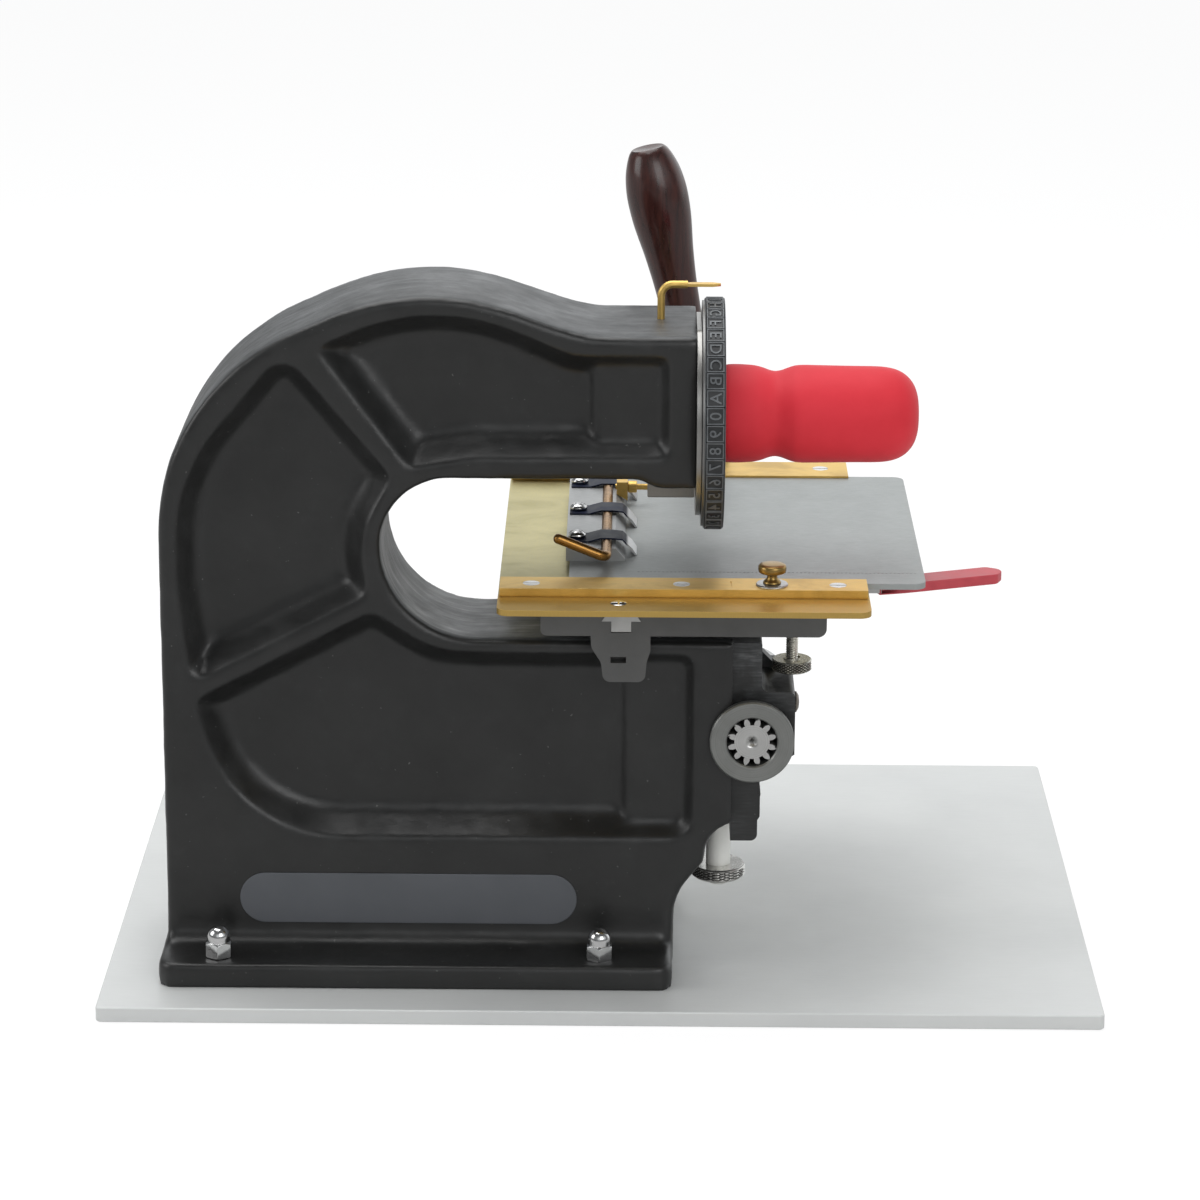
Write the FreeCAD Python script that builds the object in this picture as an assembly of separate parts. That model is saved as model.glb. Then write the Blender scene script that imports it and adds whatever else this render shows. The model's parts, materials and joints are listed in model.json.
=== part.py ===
import FreeCAD, Part
import math
import os
from FreeCAD import Vector

# Bench press for indenting characters into metal tags: a cast C-frame on a
# plate, a hand-turned type wheel in its head, and a work table that a lever
# lifts through a pinion and a rack.
# X runs to the operator, Y away from the viewer, Z up. The origin is the
# middle of the base plate's underside. All sizes are in millimetres.

# Base plate
plate_length = 508.0
plate_width = 381.0
plate_thickness = 7.9
plate_corner = 3.0
plate_edge = 0.6

# Frame casting
mid_y = -91.0
body_thickness = 76.0
body_left = -223.5
body_edge_round = 4.0
foot_thickness = 12.7
foot_width = 144.6
foot_left = -225.5
foot_right = 36.6
foot_corner = 9.0
foot_round = 2.5
foot_cove = 9.0
throat_left = -111.5
throat_bottom = 184.0
head_bottom = 267.3
head_boss_bottom = 262.6
head_top = 340.8
head_front = 46.3
nose_front = 66.0
nose_bottom = 85.3
end_allowance = 12.0
pocket_depth = 15.0
pad_depth = 9.0

# Foot fasteners
stud_left = -195.0
stud_right = -0.6
stud_spread = 117.0
stud_diameter = 7.9
stud_clearance = 0.3
stud_head_diameter = 15.0
nut_across_flats = 12.7
nut_hex_height = 8.0
nut_height = 16.0

# Label plate
label_left = -185.5
label_length = 173.0
label_height = 27.0
label_bottom = 31.0
label_thickness = 0.8

# Ram with its rack, pinion and bushings
ram_x = 60.7
ram_diameter = 12.7
ram_bottom = 41.0
slide_fit = 0.06
pinion_x = 76.2
pinion_z = 131.5
gear_module = 1.85
gear_teeth = 12
gear_addendum = 0.9
gear_dedendum = 1.15
gear_pressure_angle = 25.0
gear_backlash = 0.25
rack_low = 98.0
rack_high = 152.0
pinion_near = -131.5
ring_near = -133.0
ring_diameter = 43.0
ring_far = -35.0
neck_diameter = 34.0
mesh_half_width = 9.0
bore_chamfer = 0.9
shaft_collar_diameter = 26.0
shaft_collar_width = 9.0
collar_end_play = 0.2
shaft_diameter = 15.9
cap_depth = 15.0
cap_width = 62.0
cap_top = 181.2
cap_bottom = 74.8
lug_front = 98.2
lug_top = 155.0
cap_screw_spread = 38.0
cap_screw_high = 168.0
cap_screw_low = 92.0
cap_screw_diameter = 6.0
cap_screw_head = 10.0
cap_screw_sink = 6.5
gusset_near = -81.0
gusset_far = -73.0
gusset_size = 10.0
bushing_screw_y = -107.0
bushing_screw_z = 145.2
bushing_screw_diameter = 5.0
lug_bottom = 103.0

# Stop collar at the ram's lower end
collar_diameter = 28.0
collar_height = 7.1
collar_bottom = 44.4
knurl_count = 36
knurl_depth = 0.7

# Lever
lever_lean = 11.9
lever_y = 105.0
lever_thickness = 8.0
hub_diameter = 30.0
hub_width = 16.0
lever_pin_diameter = 4.8
arm_root_width = 26.0
arm_tip_width = 19.0
arm_length = 128.0
handle_gap = 4.0
handle_length = 133.0
stud_rod_diameter = 9.5

# Table
table_left = -31.0
table_right = 112.5
table_bottom = 190.0
table_top = 202.0
ram_seat = 3.4
table_width = 98.0
lug_gap = 0.4
table_lug_bottom = 165.8
lug_slot_width = 7.8
lug_slot_height = 3.2
lug_slot_x = 8.1
lug_slot_z = 177.4
thumb_x = 97.2
thumb_diameter = 6.35
thumb_head_diameter = 20.4
thumb_head_height = 6.8
stop_gap = 2.4

# Carriage
runner_x = 9.5
runner_neck_width = 15.7
runner_wide = 19.6
runner_flare_top = 200.6
runner_flare_bottom = 197.6
runner_tongue_width = 10.0
runner_bottom = 192.2
runner_fit = 0.12
carriage_left = -52.0
carriage_right = 133.0
carriage_near = -175.0
carriage_far = 98.0
carriage_bottom = 210.8
carriage_thickness = 3.1
carriage_corner = 6.0
plate_screw_head = 8.8
plate_screw_shank = 5.0
strip_screw_head = 8.6
strip_screw_shank = 4.0
strip_screw_xs = (-35.5, 39.5, 117.5)
strip_screw_inset = 9.5
knob_x = 84.6
slot_width = 1.0
strip_height = 4.4
strip_lip_thickness = 1.2
strip_lip_reach = 3.9
front_strip_near = -152.0
far_strip_far = 92.0
strip_right = 132.2
tag_plate_near = -135.5
tag_plate_far = 67.0
tag_plate_left = -17.0
tag_plate_right = 162.0
tag_plate_thickness = 3.0
tag_plate_corner = 6.0
plate_fit = 0.1
rack_bar_left = 86.0
rack_bar_width = 9.0
rack_tooth_pitch = 6.35
rack_tooth_depth = 2.4

# Tag clips
block_left = -19.0
block_right = 11.2
block_near = -99.0
block_far = 37.0
block_height = 6.8
block_bevel = 5.0
cam_x = 1.6
cam_diameter = 5.2
cam_drop = 0.5
cam_far = 30.0
cam_crank_y = -114.0
cam_crank_length = 26.0
cam_crank_angle = 22.0
cam_flat_angle = 37.0
clip_ys = (-81.0, -29.0, 23.5)
clip_width = 16.0
clip_thickness = 0.8
clip_nose_x = 16.2
clip_gap = 0.2
clip_lift_gap = 0.3
clip_screw_x = -13.5
clip_screw_diameter = 9.0
clip_screw_height = 3.2

# Release lever
lever_pivot_x = 104.0
lever_pivot_y = -105.5
release_bottom = 205.0
release_thickness = 3.2
release_bend_x = 141.0
release_yaw = 20.2
release_sleeve_length = 70.0
release_sleeve_width = 15.0
release_sleeve_thickness = 5.2

# Head: dial, cover and detent
dial_z = 293.1
dial_diameter = 120.6
dial_back = 50.2
dial_width = 10.2
tile_count = 42
tile_gap = 0.45
tile_depth = 6.0
rim_lip = 0.45
cover_thickness = 2.5
cover_diameter = 103.2
index_thickness = 1.1
index_diameter = 114.0
index_radius = 35.2
index_hole_diameter = 3.6
dial_shaft_diameter = 15.9
bushing_diameter = 22.0
bushing_length = 50.0
turn_fit = 0.05
retaining_diameter = 6.0
retaining_depth = 1.8
cover_screw_circle = 52.0
cover_screw_diameter = 5.0
grip_diameter = 50.6
grip_waist_diameter = 45.8
grip_waist_x = 86.4
grip_end = 158.8
detent_diameter = 4.0
detent_length = 15.0
detent_travel = 2.0
detent_gap = 0.1
index_block_left = 22.2
index_block_right = 45.9
index_block_width = 26.0
index_block_bottom = 252.2
pointer_x = 28.4
pointer_y = -84.5
pointer_diameter = 3.8
pointer_height = 358.0
pointer_bend = 6.0
pointer_tip = 58.3

# Values worked out from the sizes above
near_face = mid_y - body_thickness / 2
far_face = mid_y + body_thickness / 2
foot_top = plate_thickness + foot_thickness
pitch_radius = gear_module * gear_teeth / 2
tip_radius = pitch_radius + gear_module * gear_addendum
root_radius = pitch_radius - gear_module * gear_dedendum
rack_pitch_x = pinion_x - pitch_radius
rack_pitch = math.pi * gear_module
carriage_top = carriage_bottom + carriage_thickness
tag_bottom = carriage_top + plate_fit
tag_top = tag_bottom + tag_plate_thickness
strip_top = carriage_top + strip_height
block_top = tag_top + block_height
cam_z = block_top - cam_drop
table_near = mid_y - table_width / 2
dial_front = dial_back + dial_width
index_back = dial_back - index_thickness
cap_front = nose_front + cap_depth
handle_start = arm_length + handle_gap

X_AXIS = Vector(1, 0, 0)
Y_AXIS = Vector(0, 1, 0)
Z_AXIS = Vector(0, 0, 1)


def box(x0, x1, y0, y1, z0, z1):
    return Part.makeBox(x1 - x0, y1 - y0, z1 - z0, Vector(x0, y0, z0))


def rod(axis, centre, radius, start, end):
    """A cylinder along axis. centre gives the two other coordinates, in X, Y, Z order."""
    if axis == "x":
        base = Vector(start, centre[0], centre[1])
        way = X_AXIS
    elif axis == "y":
        base = Vector(centre[0], start, centre[1])
        way = Y_AXIS
    else:
        base = Vector(centre[0], centre[1], start)
        way = Z_AXIS
    return Part.makeCylinder(radius, end - start, base, way)


def in_xz(y):
    return lambda a, b: Vector(a, y, b)


def in_xy(z):
    return lambda a, b: Vector(a, b, z)


def moved_in(corners, inset):
    """The polygon's corners with every side moved inwards. Corners run counter-clockwise."""
    count = len(corners)
    sides = []
    for i in range(count):
        ax, az, _ = corners[i]
        bx, bz, _ = corners[(i + 1) % count]
        length = math.hypot(bx - ax, bz - az)
        ux, uz = (bx - ax) / length, (bz - az) / length
        sides.append((ax - uz * inset, az + ux * inset, ux, uz))
    result = []
    for i in range(count):
        px, pz, ux, uz = sides[i - 1]
        qx, qz, vx, vz = sides[i]
        turn = ux * vz - uz * vx
        step = ((qx - px) * vz - (qz - pz) * vx) / turn
        radius = corners[i][2]
        if radius > 0:
            radius = max(0.5, radius - inset if turn > 0 else radius + inset)
        result.append((px + ux * step, pz + uz * step, radius))
    return result


def loop_wire(corners, place, inset=0.0):
    """A closed wire through corners (a, b, radius), each rounded by its radius with an arc."""
    points = moved_in(corners, inset) if inset else corners
    count = len(points)
    edges = []
    stops = []
    for i in range(count):
        a = points[i - 1]
        b = points[i]
        c = points[(i + 1) % count]
        before = math.hypot(a[0] - b[0], a[1] - b[1])
        after = math.hypot(c[0] - b[0], c[1] - b[1])
        ux, uz = (a[0] - b[0]) / before, (a[1] - b[1]) / before
        vx, vz = (c[0] - b[0]) / after, (c[1] - b[1]) / after
        if b[2] <= 0:
            stops.append((b, b, None))
            continue
        half = math.acos(max(-1.0, min(1.0, ux * vx + uz * vz))) / 2
        reach = b[2] / math.tan(half)
        start = (b[0] + ux * reach, b[1] + uz * reach)
        end = (b[0] + vx * reach, b[1] + vz * reach)
        mx, mz = ux + vx, uz + vz
        size = math.hypot(mx, mz)
        near = b[2] / math.sin(half) - b[2]
        middle = (b[0] + mx / size * near, b[1] + mz / size * near)
        stops.append((start, end, middle))
    for i in range(count):
        start, end, middle = stops[i]
        following = stops[(i + 1) % count][0]
        if middle is not None:
            arc = Part.Arc(place(*start[:2]), place(*middle), place(*end[:2]))
            edges.append(arc.toShape())
        first = place(*end[:2])
        second = place(*following[:2])
        if first.distanceToPoint(second) > 0.001:
            edges.append(Part.makeLine(first, second))
    return Part.Wire(edges)


def slab(corners, place, depth):
    """A rounded polygon pushed out along the vector depth."""
    return Part.Face(loop_wire(corners, place)).extrude(depth)


def square(x0, x1, y0, y1, radius=0.0):
    return [(x0, y0, radius), (x1, y0, radius), (x1, y1, radius), (x0, y1, radius)]


def spun(profile, origin, axis, across):
    """A solid of revolution: profile gives (distance along axis, radius) and ends on the axis."""
    points = [origin + axis * along + across * radius for along, radius in profile]
    edges = []
    for i in range(len(points)):
        a = points[i]
        b = points[(i + 1) % len(points)]
        if a.distanceToPoint(b) > 1e-6:
            edges.append(Part.makeLine(a, b))
    return Part.Face(Part.Wire(edges)).revolve(origin, axis, 360)


def mirrored(shape):
    """The same shape on the other side of the frame's middle plane."""
    return shape.mirror(Vector(0, mid_y, 0), Y_AXIS)


def fused(shapes):
    whole = shapes[0].fuse(shapes[1:]) if len(shapes) > 1 else shapes[0]
    return whole.removeSplitter()


def group(shapes):
    return Part.makeCompound(shapes)


def export(name, shape):
    os.makedirs("parts", exist_ok=True)
    shape.exportStep("parts/" + name + ".step")
    print(name, len(shape.Solids), shape.isValid(), round(shape.Volume))


def stud_places():
    ys = (mid_y - stud_spread / 2, mid_y + stud_spread / 2)
    return [(x, y) for x in (stud_left, stud_right) for y in ys]


def hexagon(x, y, across_flats, z0, z1):
    corner = across_flats / math.sqrt(3)
    corners = []
    for i in range(6):
        angle = math.radians(60 * i + 30)
        corners.append((x + corner * math.cos(angle), y + corner * math.sin(angle), 0.0))
    return slab(corners, in_xy(z0), Vector(0, 0, z1 - z0))


def flat_head_screw(x, y, top, head, shank, length):
    """A countersunk screw along -Z whose head is flush with top."""
    sink = (head - shank) / 2
    profile = [(0, 0), (0, head / 2), (-sink, shank / 2), (-length, shank / 2), (-length, 0)]
    return spun(profile, Vector(x, y, top), Z_AXIS, X_AXIS)


def base_plate():
    corners = square(-plate_length / 2, plate_length / 2, -plate_width / 2, plate_width / 2, plate_corner)
    plate = slab(corners, in_xy(0), Vector(0, 0, plate_thickness))
    rims = [e for e in plate.Edges if abs(e.BoundBox.ZLength) < 0.01]
    plate = plate.makeChamfer(plate_edge, rims)
    for x, y in stud_places():
        plate = plate.cut(foot_stud_space(x, y))
    return plate


def foot_stud_space(x, y):
    """The room a foot screw takes through the plate and the casting."""
    radius = stud_diameter / 2 + stud_clearance
    sink = (stud_head_diameter - stud_diameter) / 2
    head = stud_head_diameter / 2 + stud_clearance
    profile = [(0, 0), (0, head), (sink, radius), (foot_top + 1, radius), (foot_top + 1, 0)]
    return spun(profile, Vector(x, y, 0), Z_AXIS, X_AXIS)


def foot_stud(x, y):
    radius = stud_diameter / 2
    sink = (stud_head_diameter - stud_diameter) / 2
    length = foot_top + nut_hex_height + 1.5
    inset = 0.3
    head = stud_head_diameter / 2
    profile = [(inset, 0), (inset, head - 0.1), (inset + sink, radius), (length, radius), (length, 0)]
    return spun(profile, Vector(x, y, 0), Z_AXIS, X_AXIS)


def acorn_nut(x, y):
    high = nut_hex_height
    hexagonal = hexagon(x, y, nut_across_flats, foot_top, foot_top + high)
    rounding = spun(
        [(0, 0), (0, 7.0), (0.8, 7.4), (high - 1.2, 7.4), (high, 6.2), (high, 0)],
        Vector(x, y, foot_top), Z_AXIS, X_AXIS)
    dome_radius = 5.9
    dome_base = foot_top + nut_hex_height
    straight = nut_height - nut_hex_height - dome_radius
    dome = rod("z", (x, y), dome_radius, dome_base - 0.5, dome_base + straight)
    dome = dome.fuse(Part.makeSphere(dome_radius, Vector(x, y, dome_base + straight)))
    nut = hexagonal.common(rounding).fuse(dome)
    nut = nut.cut(box(x - 20, x + 20, y - 20, y + 20, foot_top - 20, foot_top))
    bore = rod("z", (x, y), stud_diameter / 2, foot_top - 1, foot_top + nut_hex_height + 1.5)
    return nut.cut(bore).removeSplitter()


def label_plate():
    end = label_height / 2
    right = label_left + label_length
    corners = square(label_left, right, label_bottom, label_bottom + label_height, end)
    plate = slab(corners, in_xz(near_face), Vector(0, -label_thickness, 0))
    front = [e for e in plate.Edges if abs(e.BoundBox.YMin - (near_face - label_thickness)) < 0.01
             and e.BoundBox.YLength < 0.01]
    return plate.makeChamfer(0.3, front)


def body_corners():
    """The casting's outline seen from the side, counter-clockwise, as (x, z, radius)."""
    head_far = head_front + end_allowance
    nose_far = nose_front + end_allowance
    return [
        (body_left, 2.0, 0.0),
        (foot_right + 0.7, 2.0, 0.0),
        (foot_right + 0.7, 46.0, 30.0),
        (53.0, 64.5, 6.0),
        (53.3, 80.3, 17.0),
        (nose_front, nose_bottom, 12.0),
        (nose_far, nose_bottom, 0.0),
        (nose_far, throat_bottom, 0.0),
        (throat_left, throat_bottom, 48.4),
        (throat_left, head_bottom, 34.6),
        (18.0, head_bottom, 10.0),
        (27.0, head_boss_bottom, 8.0),
        (head_far, head_boss_bottom, 0.0),
        (head_far, head_top, 0.0),
        (-9.1, head_top, 83.6),
        (-92.3, head_top + 28.6, 122.6),
        (body_left, 311.3, 115.7),
    ]


def upper_left_pocket():
    return [
        (-209.2, 158.4, 8.0),
        (-118.0, 206.4, 6.0),
        (-121.5, 238.0, 48.0),
        (-104.9, 268.5, 4.0),
        (-159.1, 334.2, 13.0),
        (-215.3, 266.7, 95.0),
        (-215.4, 213.0, 60.0),
    ]


def arch_pocket():
    return [
        (-97.6, 272.8, 7.0),
        (-66.0, 278.3, 60.0),
        (33.9, 278.9, 5.0),
        (33.9, 331.5, 5.0),
        (-14.5, 331.5, 30.0),
        (-82.4, 360.8, 106.0),
        (-143.8, 335.2, 4.0),
    ]


def lower_pocket():
    return [
        (-184.7, 77.5, 72.0),
        (47.5, 77.5, 12.0),
        (47.5, 176.8, 6.0),
        (-84.0, 178.0, 45.0),
        (-116.6, 199.0, 9.0),
        (-208.1, 150.3, 7.0),
    ]


def pocket_space(corners):
    """What a pocket takes off the near side: sloped walls that round into the floor."""
    walls = [(-1.0, -1.0), (0.6, 0.2), (pocket_depth - 3.4, 8.6)]
    floor = [(pocket_depth - 1.0, 11.6), (pocket_depth, 14.6)]
    wires = [loop_wire(corners, in_xz(near_face + depth), inset) for depth, inset in walls + floor]
    return Part.makeLoft(wires, True, True)


def pad(left, right, low, high, slope):
    """A pad that stands up from a pocket floor, sloped at its left side."""
    floor = near_face + pocket_depth + 1
    top = near_face + pad_depth
    rise = (floor - top) * slope
    corners = [(left - rise, floor, 0.0), (left, top, 0.0), (right, top, 0.0), (right, floor, 0.0)]
    return slab(corners, in_xy(low), Vector(0, 0, high - low))


def frame_casting():
    body = slab(body_corners(), in_xz(near_face), Vector(0, body_thickness, 0))
    rims = []
    for edge in body.Edges:
        bounds = edge.BoundBox
        flat = bounds.YLength < 0.01
        end_face = bounds.XLength < 0.01 and bounds.XMin > head_front
        underside = bounds.ZMax < 3.0
        if flat and not end_face and not underside:
            rims.append(edge)
    body = body.makeFillet(body_edge_round, rims)
    body = body.cut(box(head_front, 200, -300, 100, head_boss_bottom - 30, 500))
    body = body.cut(box(nose_front, 200, -300, 100, 0, throat_bottom + 30))
    body = body.cut(box(-400, 200, -300, 100, -20, plate_thickness))
    for corners in (upper_left_pocket(), arch_pocket(), lower_pocket()):
        near = pocket_space(corners)
        body = body.cut(near).cut(mirrored(near))
    head_pad = pad(-3.4, 33.0, 276.0, 334.0, 0.9)
    nose_pad = pad(13.5, 46.0, 78.0, 176.5, 0.9)
    pads = [head_pad, mirrored(head_pad), nose_pad, mirrored(nose_pad)]
    foot = slab(
        square(foot_left, foot_right, mid_y - foot_width / 2, mid_y + foot_width / 2, foot_corner),
        in_xy(plate_thickness), Vector(0, 0, foot_thickness))
    top_rim = [e for e in foot.Edges if e.BoundBox.ZMin > foot_top - 0.01]
    foot = foot.makeFillet(foot_round, top_rim)
    whole = fused([body, foot, cove(), mirrored(cove())] + pads)
    for x, y in stud_places():
        whole = whole.cut(foot_stud_space(x, y))
    whole = whole.cut(ram_space())
    whole = whole.cut(rod("y", (pinion_x, pinion_z), neck_diameter / 2 + 0.02, near_face - 5, far_face + 5))
    bushing_start = head_front - bushing_length
    whole = whole.cut(rod("x", (mid_y, dial_z), bushing_diameter / 2, bushing_start, head_front + 1))
    whole = whole.cut(rod("z", (pointer_x, pointer_y), pointer_diameter / 2, head_top - 12, head_top + 1))
    whole = whole.cut(retaining_screw_space())
    for y, z in cover_screw_places():
        whole = whole.cut(rod("x", (y, z), cover_screw_diameter / 2, head_front - 14, head_front + 1))
    for x, y in index_screw_places():
        whole = whole.cut(rod("z", (x, y), 2.5, head_boss_bottom - 1, head_boss_bottom + 14))
    for y, z in cap_screw_places():
        whole = whole.cut(rod("x", (y, z), cap_screw_diameter / 2, nose_front - 16, nose_front + 1))
    return whole


def cove():
    """The rounded inside corner between the near face and the top of the foot."""
    y = near_face
    r = foot_cove
    z = foot_top
    inner = 3.0
    middle = Vector(0, y - r + r * math.sin(math.pi / 4), z + r - r * math.cos(math.pi / 4))
    arc = Part.Arc(Vector(0, y - r, z), middle, Vector(0, y, z + r)).toShape()
    lines = [
        Part.makeLine(Vector(0, y, z + r), Vector(0, y + inner, z + r)),
        Part.makeLine(Vector(0, y + inner, z + r), Vector(0, y + inner, z - inner)),
        Part.makeLine(Vector(0, y + inner, z - inner), Vector(0, y - r, z - inner)),
        Part.makeLine(Vector(0, y - r, z - inner), Vector(0, y - r, z)),
    ]
    face = Part.Face(Part.Wire([arc] + lines))
    face.translate(Vector(body_left, 0, 0))
    return face.extrude(Vector(foot_right - foot_corner / 2 - body_left, 0, 0))


def ram_space():
    """The guide bore and the open recess that clears the stop collar."""
    guide = rod("z", (ram_x, mid_y), ram_diameter / 2 + slide_fit, 20, throat_bottom + 20)
    recess = rod("z", (ram_x, mid_y), collar_diameter / 2 + 1.5, foot_top + 1, nose_bottom - 2)
    return guide.fuse(recess)


def tooth_corners():
    """One pinion tooth pointing along +X, from its root to its tip, as (x, z) points on involute flanks."""
    angle = math.radians(gear_pressure_angle)
    base_radius = pitch_radius * math.cos(angle)
    half_tooth = (math.pi * gear_module / 2 - gear_backlash) / 2 / pitch_radius
    involute = math.tan(angle) - angle
    flank = []
    steps = 4
    start = max(base_radius, root_radius)
    for i in range(steps + 1):
        radius = start + (tip_radius - start) * i / steps
        local = math.acos(base_radius / radius)
        offset = half_tooth + involute - (math.tan(local) - local)
        flank.append((radius * math.cos(offset), radius * math.sin(offset)))
    return flank


def pinion_teeth(near, far):
    """The toothed length of the pinion, with a tooth space facing the rack."""
    flank = tooth_corners()
    inner = root_radius - 0.8
    foot = math.atan2(flank[0][1], flank[0][0])
    low = (inner * math.cos(foot), -inner * math.sin(foot))
    high = (inner * math.cos(foot), inner * math.sin(foot))
    outline = [low] + [(a, -b) for a, b in flank] + [(a, b) for a, b in reversed(flank)] + [high]
    corners = [(a, b, 0.0) for a, b in outline]
    tooth = slab(corners, in_xz(near), Vector(0, far - near, 0))
    tip = rod("y", (0, 0), tip_radius, near, far)
    tooth = tooth.common(tip)
    teeth = [rod("y", (0, 0), root_radius, near, far)]
    for i in range(gear_teeth):
        copy = tooth.copy()
        copy.rotate(Vector(0, 0, 0), Y_AXIS, 360.0 / gear_teeth * (i + 0.5))
        teeth.append(copy)
    gear = fused(teeth)
    gear.translate(Vector(pinion_x, 0, pinion_z))
    return gear


def pinion_shaft():
    far_end = lever_y + hub_width / 2 + 1.5
    mesh_far = mid_y + mesh_half_width
    shaft = rod("y", (pinion_x, pinion_z), shaft_diameter / 2, mesh_far - 1, far_end)
    gear = pinion_teeth(pinion_near, mesh_far - 0.3)
    near_end = Vector(pinion_x, pinion_near, pinion_z)
    centre = spun([(0, 0), (0, 3.6), (3.1, 0.5), (6, 0.5), (6, 0)], near_end, Y_AXIS, X_AXIS)
    whole = fused([shaft, gear]).cut(centre)
    flat = box(pinion_x - 20, pinion_x + 20, lever_y - 30, far_end + 1, pinion_z + 20, pinion_z + 40)
    return whole.cut(flat).cut(lever_pin_space())


def lever_pin_space():
    reach = hub_diameter
    pin = rod("z", (pinion_x, lever_y), lever_pin_diameter / 2, pinion_z - reach, pinion_z + reach)
    return leaned(pin)


def lever_pin():
    proud = 0.6
    low = pinion_z - hub_diameter / 2 - proud
    pin = rod("z", (pinion_x, lever_y), lever_pin_diameter / 2, low, pinion_z + shaft_diameter)
    radius = hub_diameter / 2 + proud
    around = rod("y", (pinion_x, pinion_z), radius, lever_y - hub_width, lever_y + hub_width)
    return leaned(pin.common(around))


def leaned(shape):
    """The shape leaned back about the pinion's axis, as the lever stands at rest."""
    copy = shape.copy()
    copy.rotate(Vector(pinion_x, 0, pinion_z), Y_AXIS, -lever_lean)
    return copy


def rack_cuts():
    """The tooth spaces of the rack, on the side of the ram that faces the pinion."""
    angle = math.radians(gear_pressure_angle)
    tip_x = rack_pitch_x + gear_module * gear_addendum
    root_x = rack_pitch_x - gear_module * gear_dedendum
    half = (rack_pitch / 2 + gear_backlash) / 2
    deep = half - (rack_pitch_x - root_x) * math.tan(angle)
    shallow = half + (ram_x + ram_diameter - rack_pitch_x) * math.tan(angle)
    far_x = ram_x + ram_diameter
    count = int((rack_high - rack_low) / 2 / rack_pitch)
    spaces = [box(tip_x, far_x, mid_y - 20, mid_y + 20, rack_low, rack_high)]
    for i in range(-count, count):
        z = pinion_z + (i + 0.5) * rack_pitch
        lower = [(root_x, z - deep, 0), (far_x, z - shallow, 0)]
        corners = lower + [(far_x, z + shallow, 0), (root_x, z + deep, 0)]
        spaces.append(slab(corners, in_xz(mid_y - 20), Vector(0, 40, 0)))
    return spaces


def ram():
    bar = rod("z", (ram_x, mid_y), ram_diameter / 2, ram_bottom, table_top - ram_seat)
    chamfer = [e for e in bar.Edges if e.BoundBox.ZMax < ram_bottom + 0.01 and e.BoundBox.ZLength < 0.01]
    bar = bar.makeChamfer(1.2, chamfer)
    for space in rack_cuts():
        bar = bar.cut(space)
    return bar.cut(rod("z", (ram_x, mid_y), 3.0, table_top - 25, table_top + 1))


def table_screw():
    return flat_head_screw(ram_x, mid_y, table_top - 0.1, 11.8, 6.0, 22.0)


def table_screw_space():
    return flat_head_screw(ram_x, mid_y, table_top, 12.0, 6.0, 12.0)


def knurled(x, y, z0, z1, diameter, count, depth):
    """A round head with V grooves along its rim and small chamfers."""
    r = diameter / 2
    edge = min(1.0, (z1 - z0) / 6)
    profile = [(0, 0), (0, r - edge), (edge, r), (z1 - z0 - edge, r), (z1 - z0, r - edge), (z1 - z0, 0)]
    head = spun(profile, Vector(x, y, z0), Z_AXIS, X_AXIS)
    half = math.pi * r / count * 0.5
    grooves = []
    for i in range(count):
        corners = [(r - depth, 0, 0), (r + 1, -half * 2, 0), (r + 1, half * 2, 0)]
        groove = slab(corners, in_xy(0), Vector(0, 0, z1 - z0 + 2))
        groove.rotate(Vector(0, 0, 0), Z_AXIS, 360.0 / count * i)
        groove.translate(Vector(x, y, z0 - 1))
        grooves.append(groove)
    return head.cut(grooves)


def stop_collar():
    top = collar_bottom + collar_height
    collar = knurled(ram_x, mid_y, collar_bottom, top, collar_diameter, knurl_count, knurl_depth)
    return collar.cut(rod("z", (ram_x, mid_y), ram_diameter / 2 + slide_fit, 0, 100))


def cap_corners():
    return [
        (nose_front, cap_bottom, 0.0),
        (cap_front - 1.2, cap_bottom, 3.5),
        (cap_front - 1.2, 86.0, 0.0),
        (cap_front, 88.0, 0.0),
        (cap_front, lug_bottom, 6.0),
        (lug_front, lug_bottom + 4.0, 6.0),
        (lug_front, lug_top, 3.0),
        (cap_front, lug_top, 4.0),
        (cap_front, cap_top, 1.2),
        (nose_front, cap_top, 0.0),
    ]


def cap_screw_places():
    half = cap_screw_spread / 2
    return [(mid_y + side * half, z) for side in (-1, 1) for z in (cap_screw_high, cap_screw_low)]


def pinion_cap():
    low = mid_y - cap_width / 2
    cap = slab(cap_corners(), in_xz(low), Vector(0, cap_width, 0))
    cap = fused([cap, gusset()])
    cap = cap.cut(rod("y", (pinion_x, pinion_z), neck_diameter / 2, low - 1, low + cap_width + 1))
    cap = cap.cut(rod("z", (ram_x, mid_y), ram_diameter / 2 + slide_fit, cap_bottom - 1, cap_top + 1))
    for y, z in cap_screw_places():
        cap = cap.cut(rod("x", (y, z), cap_screw_diameter / 2, nose_front - 1, cap_front + 1))
        cap = cap.cut(rod("x", (y, z), cap_screw_head / 2 + 0.2, cap_front - cap_screw_sink, lug_front + 1))
    return cap.cut(bushing_screw_space())


def gusset():
    """The web that stands on the lug and stiffens it against the cap's front."""
    sunk = 2.0
    corners = [
        (cap_front - sunk, lug_top - sunk, 0.0),
        (cap_front + gusset_size + sunk, lug_top - sunk, 0.0),
        (cap_front - sunk, lug_top + gusset_size + sunk, 0.0),
    ]
    return slab(corners, in_xz(gusset_near), Vector(0, gusset_far - gusset_near, 0))


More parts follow.
